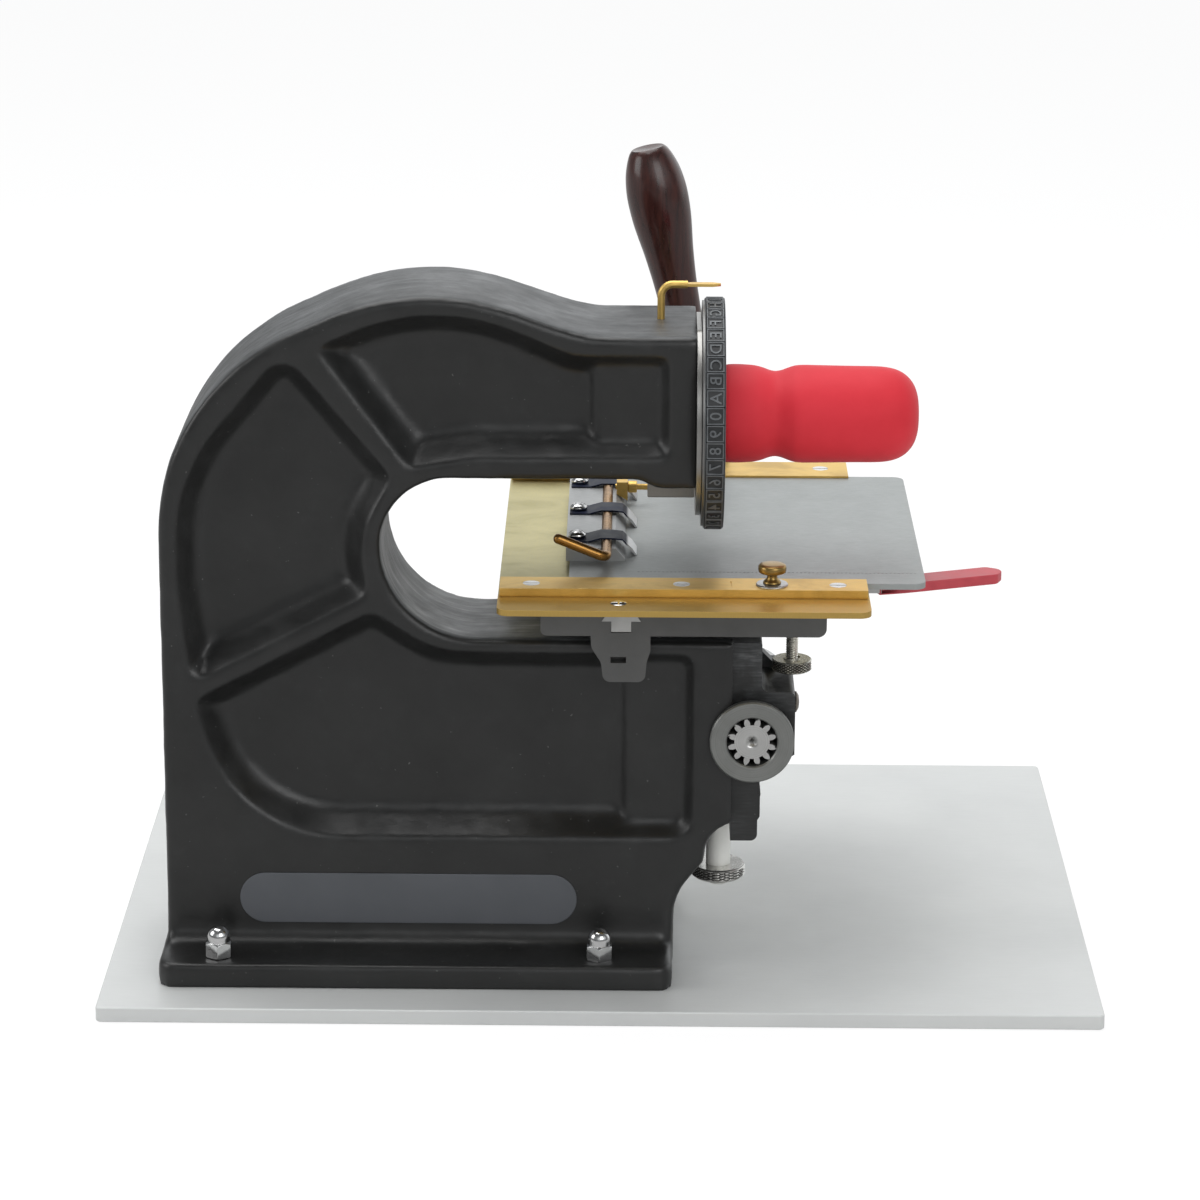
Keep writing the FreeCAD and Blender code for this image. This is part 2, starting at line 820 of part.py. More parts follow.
def cap_screws():
    screws = []
    back = cap_front - cap_screw_sink
    for y, z in cap_screw_places():
        head = rod("x", (y, z), cap_screw_head / 2, back, cap_front - 0.7)
        shank = rod("x", (y, z), cap_screw_diameter / 2, nose_front - 15, back + 0.1)
        socket = rod("x", (y, z), 2.6, cap_front - 3.6, cap_front)
        screws.append(fused([head, shank]).cut(socket))
    return group(screws)


def bushing_screw_space():
    return rod("x", (bushing_screw_y, bushing_screw_z), bushing_screw_diameter / 2, pinion_x, lug_front + 5)


def bushing_screw():
    """A round-head screw in the lug that pins the near bushing."""
    y = bushing_screw_y
    z = bushing_screw_z
    drop = z - bushing_screw_diameter / 2 - pinion_z
    tip = pinion_x + math.sqrt((neck_diameter / 2) ** 2 - drop ** 2) + turn_fit
    shank = rod("x", (y, z), bushing_screw_diameter / 2, tip, lug_front)
    r = bushing_screw_diameter * 1.08
    head = spun([(0, 0), (0, r), (1.0, r), (2.2, r * 0.6), (2.6, 0)], Vector(lug_front, y, z), X_AXIS, Z_AXIS)
    slot = box(lug_front + 1.4, lug_front + 5, y - 0.6, y + 0.6, z - 10, z + 10)
    return fused([shank, head]).cut(slot)


def near_bushing():
    ring_back = near_face - 0.05
    neck_end = mid_y - mesh_half_width
    ring = rod("y", (pinion_x, pinion_z), ring_diameter / 2, ring_near, ring_back)
    rims = [e for e in ring.Edges if e.BoundBox.YMax < ring_near + 0.01 and e.BoundBox.YLength < 0.01]
    ring = ring.makeChamfer(0.8, rims)
    neck = rod("y", (pinion_x, pinion_z), neck_diameter / 2, ring_back - 0.5, neck_end)
    bore = rod("y", (pinion_x, pinion_z), tip_radius + turn_fit, ring_near - 1, neck_end + 1)
    clear = tip_radius + turn_fit
    mouth_profile = [(0, 0), (0, clear + bore_chamfer), (bore_chamfer, clear), (bore_chamfer, 0)]
    mouth = spun(mouth_profile, Vector(pinion_x, ring_near, pinion_z), Y_AXIS, X_AXIS)
    return fused([ring, neck]).cut(bore).cut(mouth)


def far_bushing():
    neck_start = mid_y + mesh_half_width
    ring_front = far_face + 0.05
    ring = rod("y", (pinion_x, pinion_z), ring_diameter / 2, ring_front, ring_far)
    rims = [e for e in ring.Edges if e.BoundBox.YMin > ring_far - 0.01 and e.BoundBox.YLength < 0.01]
    ring = ring.makeChamfer(1.5, rims)
    neck = rod("y", (pinion_x, pinion_z), neck_diameter / 2, neck_start, ring_front + 0.5)
    bore = rod("y", (pinion_x, pinion_z), shaft_diameter / 2 + turn_fit, neck_start - 1, ring_far + 1)
    return fused([ring, neck]).cut(bore)


def shaft_collar():
    """Holds the pinion shaft against the far bushing."""
    start = ring_far + collar_end_play
    length = shaft_collar_width
    ring = rod("y", (pinion_x, pinion_z), shaft_collar_diameter / 2, start, start + length)
    rims = [e for e in ring.Edges if e.BoundBox.YLength < 0.01]
    ring = ring.makeChamfer(0.8, rims)
    ring = ring.cut(rod("y", (pinion_x, pinion_z), shaft_diameter / 2, start - 1, start + length + 1))
    return ring.cut(rod("z", (pinion_x, start + length / 2), 2.5, pinion_z, pinion_z + 20))


def collar_set_screw():
    y = ring_far + collar_end_play + shaft_collar_width / 2
    top = pinion_z + shaft_collar_diameter / 2 - 0.4
    screw = rod("z", (pinion_x, y), 2.5, pinion_z + shaft_diameter / 2, top)
    return screw.cut(rod("z", (pinion_x, y), 1.3, top - 2.6, top + 1))


def lever_arm():
    """The forged arm: a hub on the shaft, a tapering blade and a stud for the handle."""
    hub = rod("y", (pinion_x, pinion_z), hub_diameter / 2, lever_y - hub_width / 2, lever_y + hub_width / 2)
    rims = [e for e in hub.Edges if e.BoundBox.YLength < 0.01]
    hub = hub.makeChamfer(1.0, rims)
    root = arm_root_width / 2
    tip = arm_tip_width / 2
    top = pinion_z + arm_length
    corners = [
        (pinion_x - root, pinion_z, 0.0),
        (pinion_x + root, pinion_z, 0.0),
        (pinion_x + tip, top, tip * 0.9),
        (pinion_x - tip, top, tip * 0.9),
    ]
    blade = slab(corners, in_xz(lever_y - lever_thickness / 2), Vector(0, lever_thickness, 0))
    stud = rod("z", (pinion_x, lever_y), stud_rod_diameter / 2, top - 12, pinion_z + handle_start + 95)
    shoulder = rod("z", (pinion_x, lever_y), arm_tip_width / 2 - 1.5, top - 9, pinion_z + handle_start)
    whole = fused([hub, blade, stud, shoulder])
    whole = whole.cut(rod("y", (pinion_x, pinion_z), shaft_diameter / 2, lever_y - 30, lever_y + 30))
    return leaned(whole).cut(lever_pin_space())


def ferrule():
    start = pinion_z + handle_start
    profile = [(0, 0), (0, 9.6), (1.5, 10.6), (12, 10.6), (13, 10.2), (13, 0)]
    ring = spun(profile, Vector(pinion_x, lever_y, start), Z_AXIS, X_AXIS)
    ring = ring.cut(rod("z", (pinion_x, lever_y), stud_rod_diameter / 2, start - 1, start + 20))
    ring = ring.cut(rod("z", (pinion_x, lever_y), 9.4, start + 2.5, start + 20))
    return leaned(ring)


def handle_outline():
    """(share of the length, radius, rounding) along the turned handle, from the ferrule to its top."""
    return [(0.26, 10.4, 60.0), (0.62, 16.2, 70.0), (0.78, 18.4, 34.0), (0.93, 15.2, 26.0)]


def wooden_handle():
    base = Vector(pinion_x, lever_y, pinion_z + handle_start)
    tenon_radius = 9.35
    collar_radius = 10.4
    collar_top = 13.0
    bottom = 2.6
    top_radius = 8.3
    corners = [
        (0.0, bottom, 0.0),
        (tenon_radius, bottom, 0.0),
        (tenon_radius, collar_top, 0.0),
        (collar_radius, collar_top, 0.0),
    ]
    corners += [(radius, share * handle_length, rounding) for share, radius, rounding in handle_outline()]
    corners += [(top_radius, handle_length, 1.5), (0.0, handle_length, 0.0)]

    def place(radius, along):
        return base + X_AXIS * radius + Z_AXIS * along

    handle = Part.Face(loop_wire(corners, place)).revolve(base, Z_AXIS, 360)
    bore = rod("z", (pinion_x, lever_y), stud_rod_diameter / 2, base.z - 1, base.z + 95.3)
    return leaned(handle.cut(bore))


def runner_corners(clearance):
    """The runner's section: a neck, a dovetail and a tongue. A clearance makes the groove for it."""
    neck = runner_neck_width / 2 + clearance
    wide = runner_wide / 2 + clearance
    tongue = runner_tongue_width / 2 + clearance
    flare_bottom = runner_flare_bottom - clearance
    bottom = runner_bottom - clearance * 4
    x = runner_x
    return [
        (x - tongue, bottom, 0.0),
        (x + tongue, bottom, 0.0),
        (x + tongue, flare_bottom, 0.0),
        (x + wide, flare_bottom, 0.0),
        (x + neck, runner_flare_top, 0.0),
        (x + neck, carriage_bottom, 0.0),
        (x - neck, carriage_bottom, 0.0),
        (x - neck, runner_flare_top, 0.0),
        (x - wide, flare_bottom, 0.0),
        (x - tongue, flare_bottom, 0.0),
    ]


def runner_bar():
    length = carriage_far - 4.0 - table_near
    bar = slab(runner_corners(0.0), in_xz(table_near), Vector(0, length, 0))
    for y in runner_screw_ys():
        bar = bar.cut(rod("z", (runner_x, y), 2.5, carriage_bottom - 12, carriage_bottom + 1))
    return bar


def runner_screw_ys():
    return (table_near + 6.0, mid_y + 70.0, carriage_far - 12.0)


def rack_screw_ys():
    return (carriage_near + 50.0, mid_y + 60.0, carriage_far - 25.0)


def table_lug():
    """The guide cheek that hangs from the table's near edge and straddles the frame."""
    near = table_near
    back = near_face - lug_gap
    corners = [
        (0.6, table_lug_bottom, 4.0),
        (21.4, table_lug_bottom, 4.0),
        (22.4, 176.6, 6.0),
        (24.2, 182.0, 4.0),
        (24.2, table_bottom + 4, 0.0),
        (-6.0, table_bottom + 4, 0.0),
        (-5.6, 184.0, 8.0),
        (-0.6, 176.0, 6.0),
    ]
    lug = slab(corners, in_xz(near), Vector(0, back - near, 0))
    half = lug_slot_width / 2
    rise = lug_slot_height / 2
    slot = box(lug_slot_x - half, lug_slot_x + half, near - 1, near + 6, lug_slot_z - rise, lug_slot_z + rise)
    return lug.cut(slot)


def table_casting():
    corners = [
        (table_left, table_bottom, 3.0),
        (table_right, table_bottom, 4.5),
        (table_right, table_top, 1.5),
        (table_left, table_top, 1.5),
    ]
    table = slab(corners, in_xz(table_near), Vector(0, table_width, 0))
    table = fused([table, table_lug(), mirrored(table_lug())])
    table = table.cut(slab(runner_corners(runner_fit), in_xz(table_near - 5), Vector(0, table_width + 10, 0)))
    table = table.cut(rod("z", (ram_x, mid_y), ram_diameter / 2, table_bottom - 1, table_top - ram_seat))
    table = table.cut(table_screw_space())
    thread = thumb_diameter / 2 + turn_fit
    table = table.cut(rod("z", (thumb_x, mid_y), thread, table_bottom - 1, table_top + 1))
    return table.cut(rod("z", (lever_pivot_x, lever_pivot_y), 2.5, table_bottom, table_top + 1))


def thumb_screw():
    low = lug_top + stop_gap
    head = knurled(thumb_x, mid_y, low, low + thumb_head_height, thumb_head_diameter, 30, 0.6)
    high = low + thumb_head_height
    neck = rod("z", (thumb_x, mid_y), thumb_diameter / 2 + 1.2, high - 1, high + 2)
    shaft = rod("z", (thumb_x, mid_y), thumb_diameter / 2, low + 1, table_top - 1)
    return fused([head, neck, shaft])


def plate_screw(x, y, length):
    """A flat-head screw that holds the carriage plate to what is under it."""
    return flat_head_screw(x, y, carriage_top, plate_screw_head, plate_screw_shank, length)


def carriage_plate():
    corners = square(carriage_left, carriage_right, carriage_near, carriage_far, carriage_corner)
    plate = slab(corners, in_xy(carriage_bottom), Vector(0, 0, carriage_thickness))
    for x, y in strip_screw_places():
        plate = plate.cut(rod("z", (x, y), strip_screw_shank / 2, carriage_bottom - 1, carriage_top + 1))
    for y in runner_screw_ys():
        plate = plate.cut(plate_screw(runner_x, y, 10.0))
    for y in rack_screw_ys():
        plate = plate.cut(plate_screw(rack_bar_left + rack_bar_width / 2, y, 10.0))
    return plate.cut(rod("z", (knob_x, knob_y()), 2.0, carriage_bottom - 1, carriage_top + 1))


def strip_screw_places():
    front = knob_y()
    far = far_strip_far - 13.0
    return [(x, y) for y in (front, far) for x in strip_screw_xs]


def knob_y():
    return front_strip_near + strip_screw_inset


def strip(near, far, lip_from, lip_to):
    """A guide strip with a lip that overhangs the tag plate's edge."""
    left = carriage_left + 0.8
    bar = box(left, strip_right, near, far, carriage_top, strip_top)
    lip = box(left, strip_right, lip_from, lip_to, strip_top - strip_lip_thickness, strip_top)
    return fused([bar, lip])


def front_strip():
    far = tag_plate_near - plate_fit
    bar = strip(front_strip_near, far, far - 1, far + strip_lip_reach)
    groove = 0.8
    near = front_strip_near - 1
    bar = bar.cut(box(-200, 200, near, near + 1 + groove, carriage_top, carriage_top + groove))
    for x, y in strip_screw_places()[:3]:
        bar = bar.cut(flat_head_screw(x, y, strip_top, strip_screw_head, strip_screw_shank, 12.0))
    return bar.cut(rod("z", (knob_x, knob_y()), 2.05, carriage_top - 1, strip_top + 1))


def far_strip():
    near = tag_plate_far + plate_fit
    bar = strip(near, far_strip_far, near - strip_lip_reach, near + 1)
    for x, y in strip_screw_places()[3:]:
        bar = bar.cut(flat_head_screw(x, y, strip_top, strip_screw_head, strip_screw_shank, 12.0))
    return bar


def slotted(screw, x, y, top, head):
    """The screw with a driver slot across its head."""
    half = slot_width / 2
    return screw.cut(box(x - head, x + head, y - half, y + half, top - 0.9, top + 1))


def strip_screws():
    length = strip_height + carriage_thickness - 0.3
    screws = []
    for x, y in strip_screw_places():
        screw = flat_head_screw(x, y, strip_top, strip_screw_head, strip_screw_shank, length)
        screws.append(slotted(screw, x, y, strip_top, strip_screw_head))
    return group(screws)


def runner_screws():
    screws = []
    for y in runner_screw_ys():
        screws.append(plate_screw(runner_x, y, 11.0))
    near = runner_screw_ys()[0]
    screws[0] = slotted(screws[0], runner_x, near, carriage_top, plate_screw_head)
    return group(screws)


def spacing_rack():
    """The toothed bar under the carriage that the release lever's pawl catches."""
    left = rack_bar_left
    right = left + rack_bar_width
    low = table_top + 0.15
    near = carriage_near + 30.0
    far = carriage_far - 6.0
    bar = box(left, right, near, far, low, carriage_bottom)
    count = int((far - near) / rack_tooth_pitch)
    for i in range(count):
        y = near + rack_tooth_pitch * (i + 0.5)
        corners = [(right + 1, y - 2.2, 0), (right + 1, y + 1.2, 0), (right - rack_tooth_depth, y + 1.2, 0)]
        bar = bar.cut(slab(corners, in_xy(low - 1), Vector(0, 0, 20)))
    for y in rack_screw_ys():
        bar = bar.cut(rod("z", (left + rack_bar_width / 2, y), 2.5, low - 1, carriage_bottom + 1))
    return bar


def rack_screws():
    x = rack_bar_left + rack_bar_width / 2
    return group([plate_screw(x, y, 9.5) for y in rack_screw_ys()])


def tag_plate():
    left = tag_plate_left
    right = tag_plate_right
    r = tag_plate_corner
    corners = [
        (left, tag_plate_near, 0.0),
        (right, tag_plate_near, r),
        (right, tag_plate_far, r),
        (left, tag_plate_far, 0.0),
    ]
    plate = slab(corners, in_xy(tag_bottom), Vector(0, 0, tag_plate_thickness))
    for y in clip_ys:
        plate = plate.cut(rod("z", (clip_screw_x, y), 2.0, tag_bottom - 1, tag_top + 1))
    return plate


def clip_block():
    """The clamp bar on the tag plate: bevelled jaw, a groove for the cam rod."""
    corners = [
        (block_left, tag_top, 0.0),
        (block_right, tag_top, 0.0),
        (block_right, tag_top + 1.2, 0.0),
        (block_right - block_bevel, block_top, 0.0),
        (block_left, block_top, 0.0),
    ]
    block = slab(corners, in_xz(block_near), Vector(0, block_far - block_near, 0))
    groove = rod("y", (cam_x, cam_z), cam_diameter / 2 + turn_fit, block_near - 1, cam_far + 1)
    opening = box(cam_x - cam_diameter / 2 - turn_fit, cam_x + cam_diameter / 2 + turn_fit,
                  block_near - 1, cam_far + 1, cam_z, block_top + 1)
    block = block.cut(groove).cut(opening)
    for y in clip_ys:
        block = block.cut(rod("z", (clip_screw_x, y), 2.0, tag_top - 1, block_top + 1))
    return block


def cam_rod():
    """A rod with a flat that lies under the clips, and a bent crank handle at its near end."""
    r = cam_diameter / 2
    straight = rod("y", (cam_x, cam_z), r, block_near - 2, cam_far)
    flat_z = cam_z + r * math.cos(math.radians(cam_flat_angle))
    for y in clip_ys:
        half = clip_width / 2 + 1
        straight = straight.cut(box(cam_x - 10, cam_x + 10, y - half, y + half, flat_z, flat_z + 10))
    bend = 5.0
    start = Vector(cam_x, block_near - 2, cam_z)
    corner = Vector(cam_x, cam_crank_y, cam_z)
    angle = math.radians(cam_crank_angle)
    out = Vector(-math.cos(angle), 0, math.sin(angle))
    before = corner + Y_AXIS * bend
    after = corner + out * bend
    centre = corner + Y_AXIS * bend + out * bend
    middle = centre + (corner - centre).normalize() * bend
    tip = corner + out * cam_crank_length
    arc = Part.Arc(before, middle, after).toShape()
    path = Part.Wire([Part.makeLine(start, before), arc, Part.makeLine(after, tip)])
    ring = Part.Wire([Part.makeCircle(r, start, Y_AXIS)])
    crank = path.makePipeShell([ring], True, False)
    end = Part.makeSphere(r, tip)
    return fused([straight, crank, end])


def clip_spring(y):
    """One blued leaf clip: flat under its screw, arched over the cam rod, with a bent nose."""
    over = cam_z + cam_diameter / 2 * math.cos(math.radians(cam_flat_angle)) + clip_gap
    t = clip_thickness
    back = clip_screw_x - 4.5
    low = [
        (clip_screw_x + 5.5, block_top),
        (cam_x - 3.2, over),
        (cam_x + 3.4, over),
        (cam_x + 8.2, over - 0.6),
        (clip_nose_x - 2.6, tag_top + 3.4),
        (clip_nose_x, tag_top + 0.15),
    ]
    high = [(x, z + t) for x, z in low[:-2]]
    high += [(clip_nose_x - 1.6, tag_top + 4.2), (clip_nose_x + 0.9, tag_top + 0.5)]
    rear = [(back, block_top + t, t / 2), (back, block_top, t / 2)]
    corners = [(x, z, 0.0) for x, z in low] + [(x, z, 0.0) for x, z in reversed(high)] + rear
    leaf = slab(corners, in_xz(y - clip_width / 2), Vector(0, clip_width, 0))
    return leaf.cut(rod("z", (clip_screw_x, y), 2.4, block_top - 1, block_top + 5))


def clip_springs():
    return group([clip_spring(y) for y in clip_ys])


def clip_screws():
    screws = []
    for y in clip_ys:
        low = block_top + clip_thickness + clip_lift_gap
        r = clip_screw_diameter / 2
        h = clip_screw_height
        profile = [(0, 0), (0, r), (h * 0.4, r), (h * 0.8, r * 0.75), (h, r * 0.3), (h, 0)]
        head = spun(profile, Vector(clip_screw_x, y, low), Z_AXIS, X_AXIS)
        shank = rod("z", (clip_screw_x, y), 2.0, tag_bottom + 0.2, low + 0.1)
        slot = box(clip_screw_x - 6, clip_screw_x + 6, y - 0.5, y + 0.5, low + h * 0.55, low + h + 1)
        screws.append(fused([head, shank]).cut(slot))
    return group(screws)


def stop_centre():
    return Vector(9.2, 7.0, block_top + 3.3)


def stop_block():
    """A small brass block on the clamp bar that carries the line stop screw."""
    c = stop_centre()
    corners = [
        (c.x - 2.9, block_top, 0.0),
        (block_right - block_bevel, block_top, 0.0),
        (c.x + 2.9, block_top - 3.4, 0.0),
        (c.x + 2.9, c.z + 3.3, 0.0),
        (c.x - 2.9, c.z + 3.3, 0.0),
    ]
    block = slab(corners, in_xz(c.y - 3.6), Vector(0, 7.2, 0))
    return block.cut(rod("x", (c.y, c.z), 1.6 + turn_fit, c.x - 10, c.x + 10))


def stop_screw():
    c = stop_centre()
    shank = rod("x", (c.y, c.z), 1.6, c.x - 3.6, c.x + 15.0)
    collar = rod("x", (c.y, c.z), 3.2, c.x + 3.0, c.x + 7.8)
    rims = [e for e in collar.Edges if e.BoundBox.XLength < 0.01]
    return fused([shank, collar.makeChamfer(0.4, rims)])


def knob_washer():
    ring = rod("z", (knob_x, knob_y()), 8.0, strip_top, strip_top + 0.9)
    rims = [e for e in ring.Edges if e.BoundBox.ZMin > strip_top + 0.8]
    ring = ring.makeChamfer(0.4, rims)
    return ring.cut(rod("z", (knob_x, knob_y()), 2.2, strip_top - 1, strip_top + 2))


def lock_knob():
    """The brass thumb knob that locks the tag plate."""
    base = strip_top + 0.95
    profile = [
        (0, 0), (0, 4.6), (0.8, 4.6), (1.4, 3.3), (3.6, 3.1), (4.4, 5.2), (5.6, 7.1), (9.6, 7.1),
        (10.6, 6.4), (10.6, 5.2), (12.0, 4.8), (12.0, 0),
    ]
    head = spun(profile, Vector(knob_x, knob_y(), base), Z_AXIS, X_AXIS)
    slot = box(knob_x - 6, knob_x + 6, knob_y() - 0.6, knob_y() + 0.6, base + 10.9, base + 14)
    shank = rod("z", (knob_x, knob_y()), 1.95, carriage_bottom + 0.3, base + 1)
    return fused([head, shank]).cut(slot)


def release_lever():
    """The flat bar with its pawl tooth, pivoted on the table and bent towards the operator."""
    low = release_bottom
    t = release_thickness
    px = lever_pivot_x
    py = lever_pivot_y
    angle = math.radians(release_yaw)
    bend = release_bend_x
    near = py - 7.0
    far = py + 5.5
    reach = release_sleeve_length - 4.0
    along = Vector(math.cos(angle), math.sin(angle), 0)
    across = Vector(-math.sin(angle), math.cos(angle), 0)
    width = far - near
    near_end = Vector(bend, near, 0) + along * reach
    far_end = near_end + across * width
    pawl_x = rack_bar_left + rack_bar_width + 0.4
    corners = [
        (px - 6.5, near, 4.0),
        (bend, near, 0.0),
        (near_end.x, near_end.y, 3.0),
        (far_end.x, far_end.y, 3.0),
        (bend - 1.5, far, 0.0),
        (px + 7.0, far, 3.0),
        (px + 5.0, py + 17.0, 1.5),
        (pawl_x, py + 15.5, 0.6),
        (px - 6.5, py + 9.0, 1.5),
    ]
    bar = slab(corners, in_xy(low), Vector(0, 0, t))
    return bar.cut(rod("z", (px, py), 3.05, low - 1, low + t + 1))


def release_sleeve():
    angle = release_yaw
    length = release_sleeve_length
    w = release_sleeve_width
    t = release_sleeve_thickness
    low = release_bottom + release_thickness / 2 - t / 2
    corners = [
        (0.0, -w / 2 + 1.2, 0.8),
        (length * 0.2, -w / 2, 0.0),
        (length - 5.0, -w / 2, 4.0),
        (length, -w / 2 + 5.5, 4.0),
        (length, w / 2 - 5.5, 4.0),
        (length - 5.0, w / 2, 4.0),
        (length * 0.2, w / 2, 0.0),
        (0.0, w / 2 - 1.2, 0.8),
    ]
    sleeve = slab(corners, in_xy(low), Vector(0, 0, t))
    rims = [e for e in sleeve.Edges if e.BoundBox.ZLength < 0.01]
    sleeve = sleeve.makeFillet(0.7, rims)
    sleeve.translate(Vector(release_bend_x - 1.0, lever_pivot_y - 0.6, 0))
    sleeve.rotate(Vector(release_bend_x, lever_pivot_y - 7.0, 0), Z_AXIS, angle)
    return sleeve.cut(release_lever())


def release_pivot():
    """The shouldered screw that the release lever turns on, with its spacer under the lever."""
    x = lever_pivot_x
    y = lever_pivot_y
    top = release_bottom + release_thickness
    profile = [
        (table_bottom + 1 - table_top, 0), (table_bottom + 1 - table_top, 2.5), (0, 2.5), (0, 5.5),
        (release_bottom - table_top - 0.1, 5.5), (release_bottom - table_top - 0.1, 3.0),
        (top - table_top + 0.1, 3.0), (top - table_top + 0.1, 5.2), (top - table_top + 1.6, 4.6),
        (top - table_top + 1.6, 0),
    ]
    return spun(profile, Vector(x, y, table_top), Z_AXIS, X_AXIS)


def dial_wheel():
    """The wheel that carries the type: a hub, a web and a rim grooved for the tiles."""
    r = dial_diameter / 2
    inner = r - tile_depth
    bore = dial_shaft_diameter / 2
    lip = rim_lip
    recess = 3.0
    profile = [
        (0, bore), (0, r - 1.2), (lip, r - 0.7), (lip, inner), (dial_width - lip, inner),
        (dial_width - lip, r - 0.7), (dial_width, r - 1.2), (dial_width, r - 9.5),
        (dial_width - recess, r - 11.5), (dial_width - recess, 29.0), (dial_width, 27.5), (dial_width, bore),
    ]
    return spun(profile, Vector(dial_back, mid_y, dial_z), X_AXIS, Z_AXIS)


def type_tiles():
    """The separate type blocks round the rim, with a fine gap between neighbours."""
    r = dial_diameter / 2
    inner = r - tile_depth
    x0 = dial_back + rim_lip
    x1 = dial_front - rim_lip
    edge = 0.5
    width = x1 - x0
    profile = [(0, inner), (0, r - edge), (edge, r), (width - edge, r), (width, r - edge), (width, inner)]
    ring = spun(profile, Vector(x0, mid_y, dial_z), X_AXIS, Z_AXIS)
    gaps = []
    half = tile_gap / 2
    for i in range(tile_count):
        gap = box(x0 - 1, x1 + 1, mid_y - half, mid_y + half, dial_z + inner - 1, dial_z + r + 1)
        gap.rotate(Vector(0, mid_y, dial_z), X_AXIS, 360.0 / tile_count * (i + 0.5))
        gaps.append(gap)
    return group(ring.cut(gaps).Solids)


def index_wheel():
    """The thin detent plate behind the dial, with one hole for each type block."""
    disc = rod("x", (mid_y, dial_z), index_diameter / 2, index_back, dial_back)
    disc = disc.cut(rod("x", (mid_y, dial_z), dial_shaft_diameter / 2, index_back - 1, dial_back + 1))
    holes = []
    radius = index_hole_diameter / 2
    for i in range(tile_count):
        hole = rod("x", (mid_y, dial_z - index_radius), radius, index_back - 1, dial_back + 1)
        hole.rotate(Vector(0, mid_y, dial_z), X_AXIS, 360.0 / tile_count * i)
        holes.append(hole)
    return disc.cut(holes)


def dial_shaft():
    start = head_front - bushing_length + 1.0
    end = grip_end - 12.0
    shaft = rod("x", (mid_y, dial_z), dial_shaft_diameter / 2, start, end)
    x = retaining_x()
    half = retaining_diameter / 2 + 0.3
    ring = rod("x", (mid_y, dial_z), dial_shaft_diameter, x - half, x + half)
    ring = ring.cut(rod("x", (mid_y, dial_z), dial_shaft_diameter / 2 - retaining_depth, x - half, x + half))
    return shaft.cut(ring)


def retaining_x():
    return head_front - bushing_length + 10.0


def retaining_screw_space():
    return rod("z", (retaining_x(), mid_y), retaining_diameter / 2, head_bottom - 5, dial_z)


def retaining_screw():
    """The dog-point screw in the head that keeps the dial shaft from sliding out."""
    x = retaining_x()
    tip = dial_z - dial_shaft_diameter / 2 + retaining_depth - 0.15
    screw = rod("z", (x, mid_y), retaining_diameter / 2, head_bottom + 1.0, tip)
    return screw.cut(rod("z", (x, mid_y), 1.5, head_bottom - 1, head_bottom + 4))


def dial_bushing():
    start = head_front - bushing_length
    tube = rod("x", (mid_y, dial_z), bushing_diameter / 2, start, head_front)
    tube = tube.cut(rod("x", (mid_y, dial_z), dial_shaft_diameter / 2 + turn_fit, start - 1, head_front + 1))
    return tube.cut(retaining_screw_space())


def dial_grip():
    """The soft grip sleeve: a cylinder with a smooth waist and a rounded outer end."""
    r = grip_diameter / 2
    waist = grip_waist_diameter / 2
    start = dial_front + 0.05
    reach = 9.0
    corners = [
        (start, 0.0, 0.0),
        (grip_end, 0.0, 0.0),
        (grip_end, r, 16.0),
        (grip_waist_x + reach, r, 9.0),
        (grip_waist_x + reach / 3, waist, 9.0),
        (grip_waist_x - reach / 3, waist, 9.0),
        (grip_waist_x - reach, r, 9.0),
        (start, r, 1.5),
    ]
    origin = Vector(0, mid_y, dial_z)

    def place(along, radius):
        return origin + X_AXIS * along + Z_AXIS * radius

    grip = Part.Face(loop_wire(corners, place)).revolve(origin, X_AXIS, 360)
    return grip.cut(rod("x", (mid_y, dial_z), dial_shaft_diameter / 2, start - 1, grip_end - 12.0))


def cover_screw_places():
    places = []
    reach = cover_screw_circle / 2
    for degrees in (90.0, 210.0, 330.0):
        angle = math.radians(degrees)
        places.append((mid_y + reach * math.cos(angle), dial_z + reach * math.sin(angle)))
    return places


def cover_plate():
    """The round steel guard between the head and the dial, cut level with the head's top."""
    disc = rod("x", (mid_y, dial_z), cover_diameter / 2, head_front, head_front + cover_thickness)
    disc = disc.cut(box(head_front - 1, head_front + 10, mid_y - 100, mid_y + 100, head_top, head_top + 50))
    disc = disc.cut(rod("x", (mid_y, dial_z), dial_shaft_diameter / 2 + 1.0, head_front - 1, head_front + 10))
    disc = disc.cut(rod("x", (mid_y, detent_z()), detent_diameter / 2 + 0.3, head_front - 1, head_front + 10))
    for y, z in cover_screw_places():
        disc = disc.cut(cover_screw_solid(y, z))
    return disc


def cover_screw_solid(y, z):
    top = head_front + cover_thickness
    shank = cover_screw_diameter / 2
    sink = 2.1
    length = 15.0
    profile = [(0, 0), (0, shank + sink), (-sink, shank), (-length, shank), (-length, 0)]
    return spun(profile, Vector(top, y, z), X_AXIS, Z_AXIS)


def cover_screws():
    return group([cover_screw_solid(y, z) for y, z in cover_screw_places()])


def detent_z():
    return dial_z - index_radius


def index_screw_places():
    return [(index_block_left + 6.5, mid_y - 8.0), (index_block_right - 6.5, mid_y + 8.0)]


